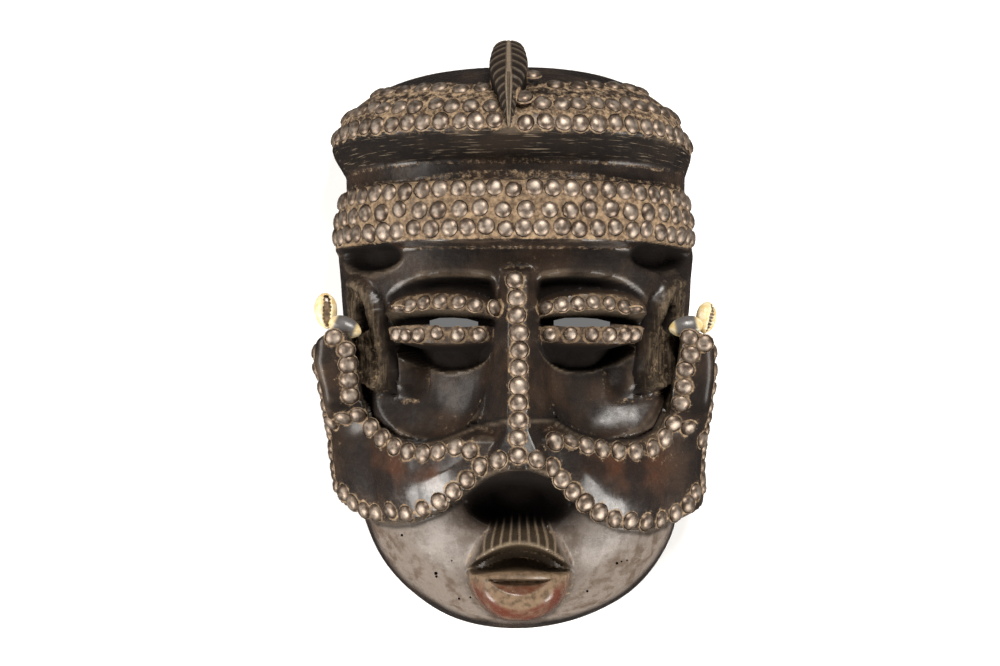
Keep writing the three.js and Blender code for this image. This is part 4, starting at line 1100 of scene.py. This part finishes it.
# outOfShade: one less the painted shade, so that less dust lies in it
outOfShade = shade.rest(shade.times(paintedShade, 0.9))
dustMask, dustColor, dustHeight = shade.dusty(shade.most(
    shade.times(shade.most(shade.times(crease, 0.5), shade.times(ear, 0.4)), outOfShade),
    shade.times(outOfShade, shade.ramp(cloud, 0.35, 0.7, 0.12, 0.36)),
    shade.times(tackRing, 0.8),
    shade.times(tackHaze, 0.42),
    shade.times(shade.read("bed"), shade.plus(shade.times(tackHaze, 0.3), 0.7), 0.85),
))
dustShare = shade.times(dustMask, 0.8)
color = shade.blend(shade.ramp(cloud, 0.38, 0.68), woodLook["dark"], woodLook["brown"])
for share, tone in [
    (shade.times(shade.read("red"), shade.ramp(cloud, 0.42, 0.66, 0.1, 0.85)), "red"),
    (shade.ramp(veins, 0.52, 0.75, 0, 0.35), "dark"),
    # the jaw's light tone, partly a painted sheen
    (shade.read("jaw"), jawToneAndSheen),
    (shade.times(shade.read("pout"), 0.85), "pout"),
    (shade.times(shade.read("lowerLip"), shade.ramp(shade.noise(260, 4, 0.65), 0.3, 0.62, 0.25, 0.9)), "lipTan"),
    (shade.times(lip, shade.ramp(shade.noise(150), 0.3, 0.6, 0.45, 0.95)), "lip"),
    (shade.times(ear, 0.9), earTone),
    # painted shade in the recesses
    (shade.times(paintedShade, 0.92), "paintedShade"),
    (shade.times(edge, shade.ramp(cloud, 0.4, 0.7, 0.0, 0.14)), "worn"),
    (shade.times(shade.read("brim"), shade.ramp(scratch, 0.58, 0.68, 0, 0.4)), "worn"),
    (inside, shade.blend(veins, woodLook["brown"], woodLook["raw"])),
    (dustShare, dustColor),
    (shade.times(shade.read("lid"), 0.45), "brown"),
    # light lines: partly worn, partly painted highlights
    (shade.times(shade.read("wornLinesAndHighlights"), shade.ramp(fineGrain, 0.3, 0.6, 0.45, 0.9)), "worn"),
]:
    color = shade.blend(share, color, woodLook[tone] if isinstance(tone, str) else tone)
rough = shade.plus(shade.ramp(shade.noise(160), 0.3, 0.75, 0.4, 0.55), shade.times(dustMask, 0.3),
                   shade.times(shade.most(paintedShade, ear), 0.45), shade.times(inside, 0.3), clamp=True)
dull = shade.most(paintedShade, shade.times(ear, 0.95), dustShare)
coat = shade.times(shade.read("gloss"), shade.rest(dull), shade.ramp(cloud, 0.3, 0.6, 0.7, 1.0))
earGrain = shade.plus(shade.noise(700), shade.times(veins, 2))
height = shade.plus(shade.times(fineGrain, 0.6), shade.times(scratch, 0.7), shade.times(dustHeight, 0.9),
                    shade.times(shade.noise(240, 4, 0.65), 1.6), shade.times(earGrain, ear, 2.5))
shade.finish({
    "Base Color": color, "Roughness": rough, "Normal": shade.bump(0.4, 0.0005, height), "Specular IOR Level": 0.1,
    "Coat Weight": shade.most(coat, lip),
    "Coat Roughness": shade.ramp(shade.noise(380, 4, 0.65), 0.3, 0.7, 0.17, 0.33),
})

tackLook = {"pewter": (0.200, 0.155, 0.120, 1), "brown": (0.085, 0.059, 0.042, 1), "worn": (0.40, 0.35, 0.30, 1),
            "paintedContactShadow": (0.012, 0.008, 0.006, 1)}
tackMaterial, shade = newMaterial("dulled_tack_metal")
rim = shade.read("rim")
patina = shade.noise(300, 3, 0.5)
mottle = shade.ramp(shade.plus(patina, shade.times(shade.read("tone"), 0.07)), 0.3, 0.7)
rubbed = shade.times(shade.ramp(rim, 0.4, 0.0), shade.ramp(patina, 0.35, 0.7, 0.1, 0.5))
dustMask, dustColor, dustHeight = shade.dusty(shade.most(shade.times(shade.read("collar"), 0.9), 0.25))
dustShare = shade.times(dustMask, 0.85)
color = shade.blend(mottle, tackLook["brown"], tackLook["pewter"])
color = shade.blend(rubbed, color, tackLook["worn"])
# painted contact shadow darkening the foot of each dome where it meets the wood
color = shade.blend(shade.ramp(rim, 0.84, 1.0, 0, 0.8), color, tackLook["paintedContactShadow"])
shade.finish({
    "Base Color": shade.blend(dustShare, color, dustColor), "Metallic": shade.times(shade.rest(dustShare), 0.75),
    "Roughness": shade.plus(shade.ramp(patina, 0.3, 0.7, 0.38, 0.54), shade.times(dustMask, 0.3)),
    "Normal": shade.bump(0.15, 0.0003, shade.plus(patina, dustHeight)),
})

shellLook = {"ivory": (0.50, 0.36, 0.15, 1), "cream": (0.62, 0.54, 0.36, 1), "back": (0.085, 0.08, 0.077, 1),
             "slitShade": (0.05, 0.04, 0.034, 1)}
shellMaterial, shade = newMaterial("cowrie_glaze")
patch = shade.noise(300)
shellSlit = shade.read("slit")
dustMask, dustColor, _ = shade.dusty(shade.ramp(shellSlit, 0.0, 1.0, 0.2, 0.75))
color = shade.blend(shade.ramp(patch, 0.35, 0.65), shellLook["cream"], shellLook["ivory"])
color = shade.blend(shade.times(shade.read("back"), shade.rest(shade.read("ends"))), color, shellLook["back"])
# the toothed slit is painted near-black: painted shade for the dark inside of the shell
color = shade.blend(shade.ramp(shellSlit, 0.2, 0.5), color, shellLook["slitShade"])
shade.finish({
    "Base Color": shade.blend(dustMask, color, dustColor), "Roughness": shade.ramp(patch, 0.3, 0.7, 0.22, 0.4),
    "Normal": shade.bump(0.2, 0.0003, patch),
})

for pieces, material in (([wood], woodMaterial), (tackRows, tackMaterial), (shells, shellMaterial)):
    for piece in pieces:
        piece.data.materials.clear()
        piece.data.materials.append(material)

# A plain pale floor, soft studio light and the camera straight over the mask
clearSelection()
bpy.ops.mesh.primitive_plane_add(size=6)
floor = bpy.context.object
floor.name = "floor"
floor.visible_glossy = False
floorMaterial, shade = newMaterial("pale_floor")
shade.finish({"Base Color": (0.86, 0.86, 0.86, 1), "Roughness": 0.9, "Emission Color": (1, 1, 1, 1),
              "Emission Strength": 0.17})
floor.data.materials.append(floorMaterial)

world = bpy.data.worlds.new("studio")
world.use_nodes = True
background = world.node_tree.nodes["Background"].inputs
background["Color"].default_value = (1, 1, 1, 1)
background["Strength"].default_value = 0.07
bpy.context.scene.world = world

lamps = [  # name, place, aimed at, width, height, watts
    ("key_box", (0.3, 0.9, 1.0), (0, 0, 0.05), 0.5, 0.45, 26),
    ("low_left_box", (-1.0, -0.75, 0.6), (0, 0, 0.05), 0.8, 0.7, 30),
    ("low_right_box", (0.95, -0.8, 0.6), (0, 0, 0.05), 0.8, 0.7, 30),
    ("left_box", (-1.1, 0.35, 0.75), (0, 0, 0.05), 0.4, 0.8, 8),
]
for name, place, aim, width, height, watts in lamps:
    lamp = bpy.data.lights.new(name, "AREA")
    lamp.shape = "RECTANGLE"
    lamp.size, lamp.size_y, lamp.energy = width, height, watts
    lamp.color = (1, 0.96, 0.91)
    lampObject = bpy.data.objects.new(name, lamp)
    lampObject.location = place
    lampObject.rotation_euler = (Vector(aim) - Vector(place)).to_track_quat("-Z", "Y").to_euler()
    bpy.context.collection.objects.link(lampObject)

photo = {"distance": 6.0, "height": 0.06, "span": 0.545, "sensor": 36, "middle": (-8.7, 0.8)}
cameraData = bpy.data.cameras.new("camera")
cameraData.sensor_width = photo["sensor"]
cameraData.lens = photo["sensor"] * photo["distance"] / photo["span"]
camera = bpy.data.objects.new("camera", cameraData)
camera.location = toFrame(*photo["middle"], 0) + np.array([0, 0, photo["height"] + photo["distance"]])
bpy.context.collection.objects.link(camera)
bpy.context.scene.camera = camera
bpy.context.scene.view_settings.view_transform = "Standard"

print("pieces", len(tackRows) + len(shells) + 1)
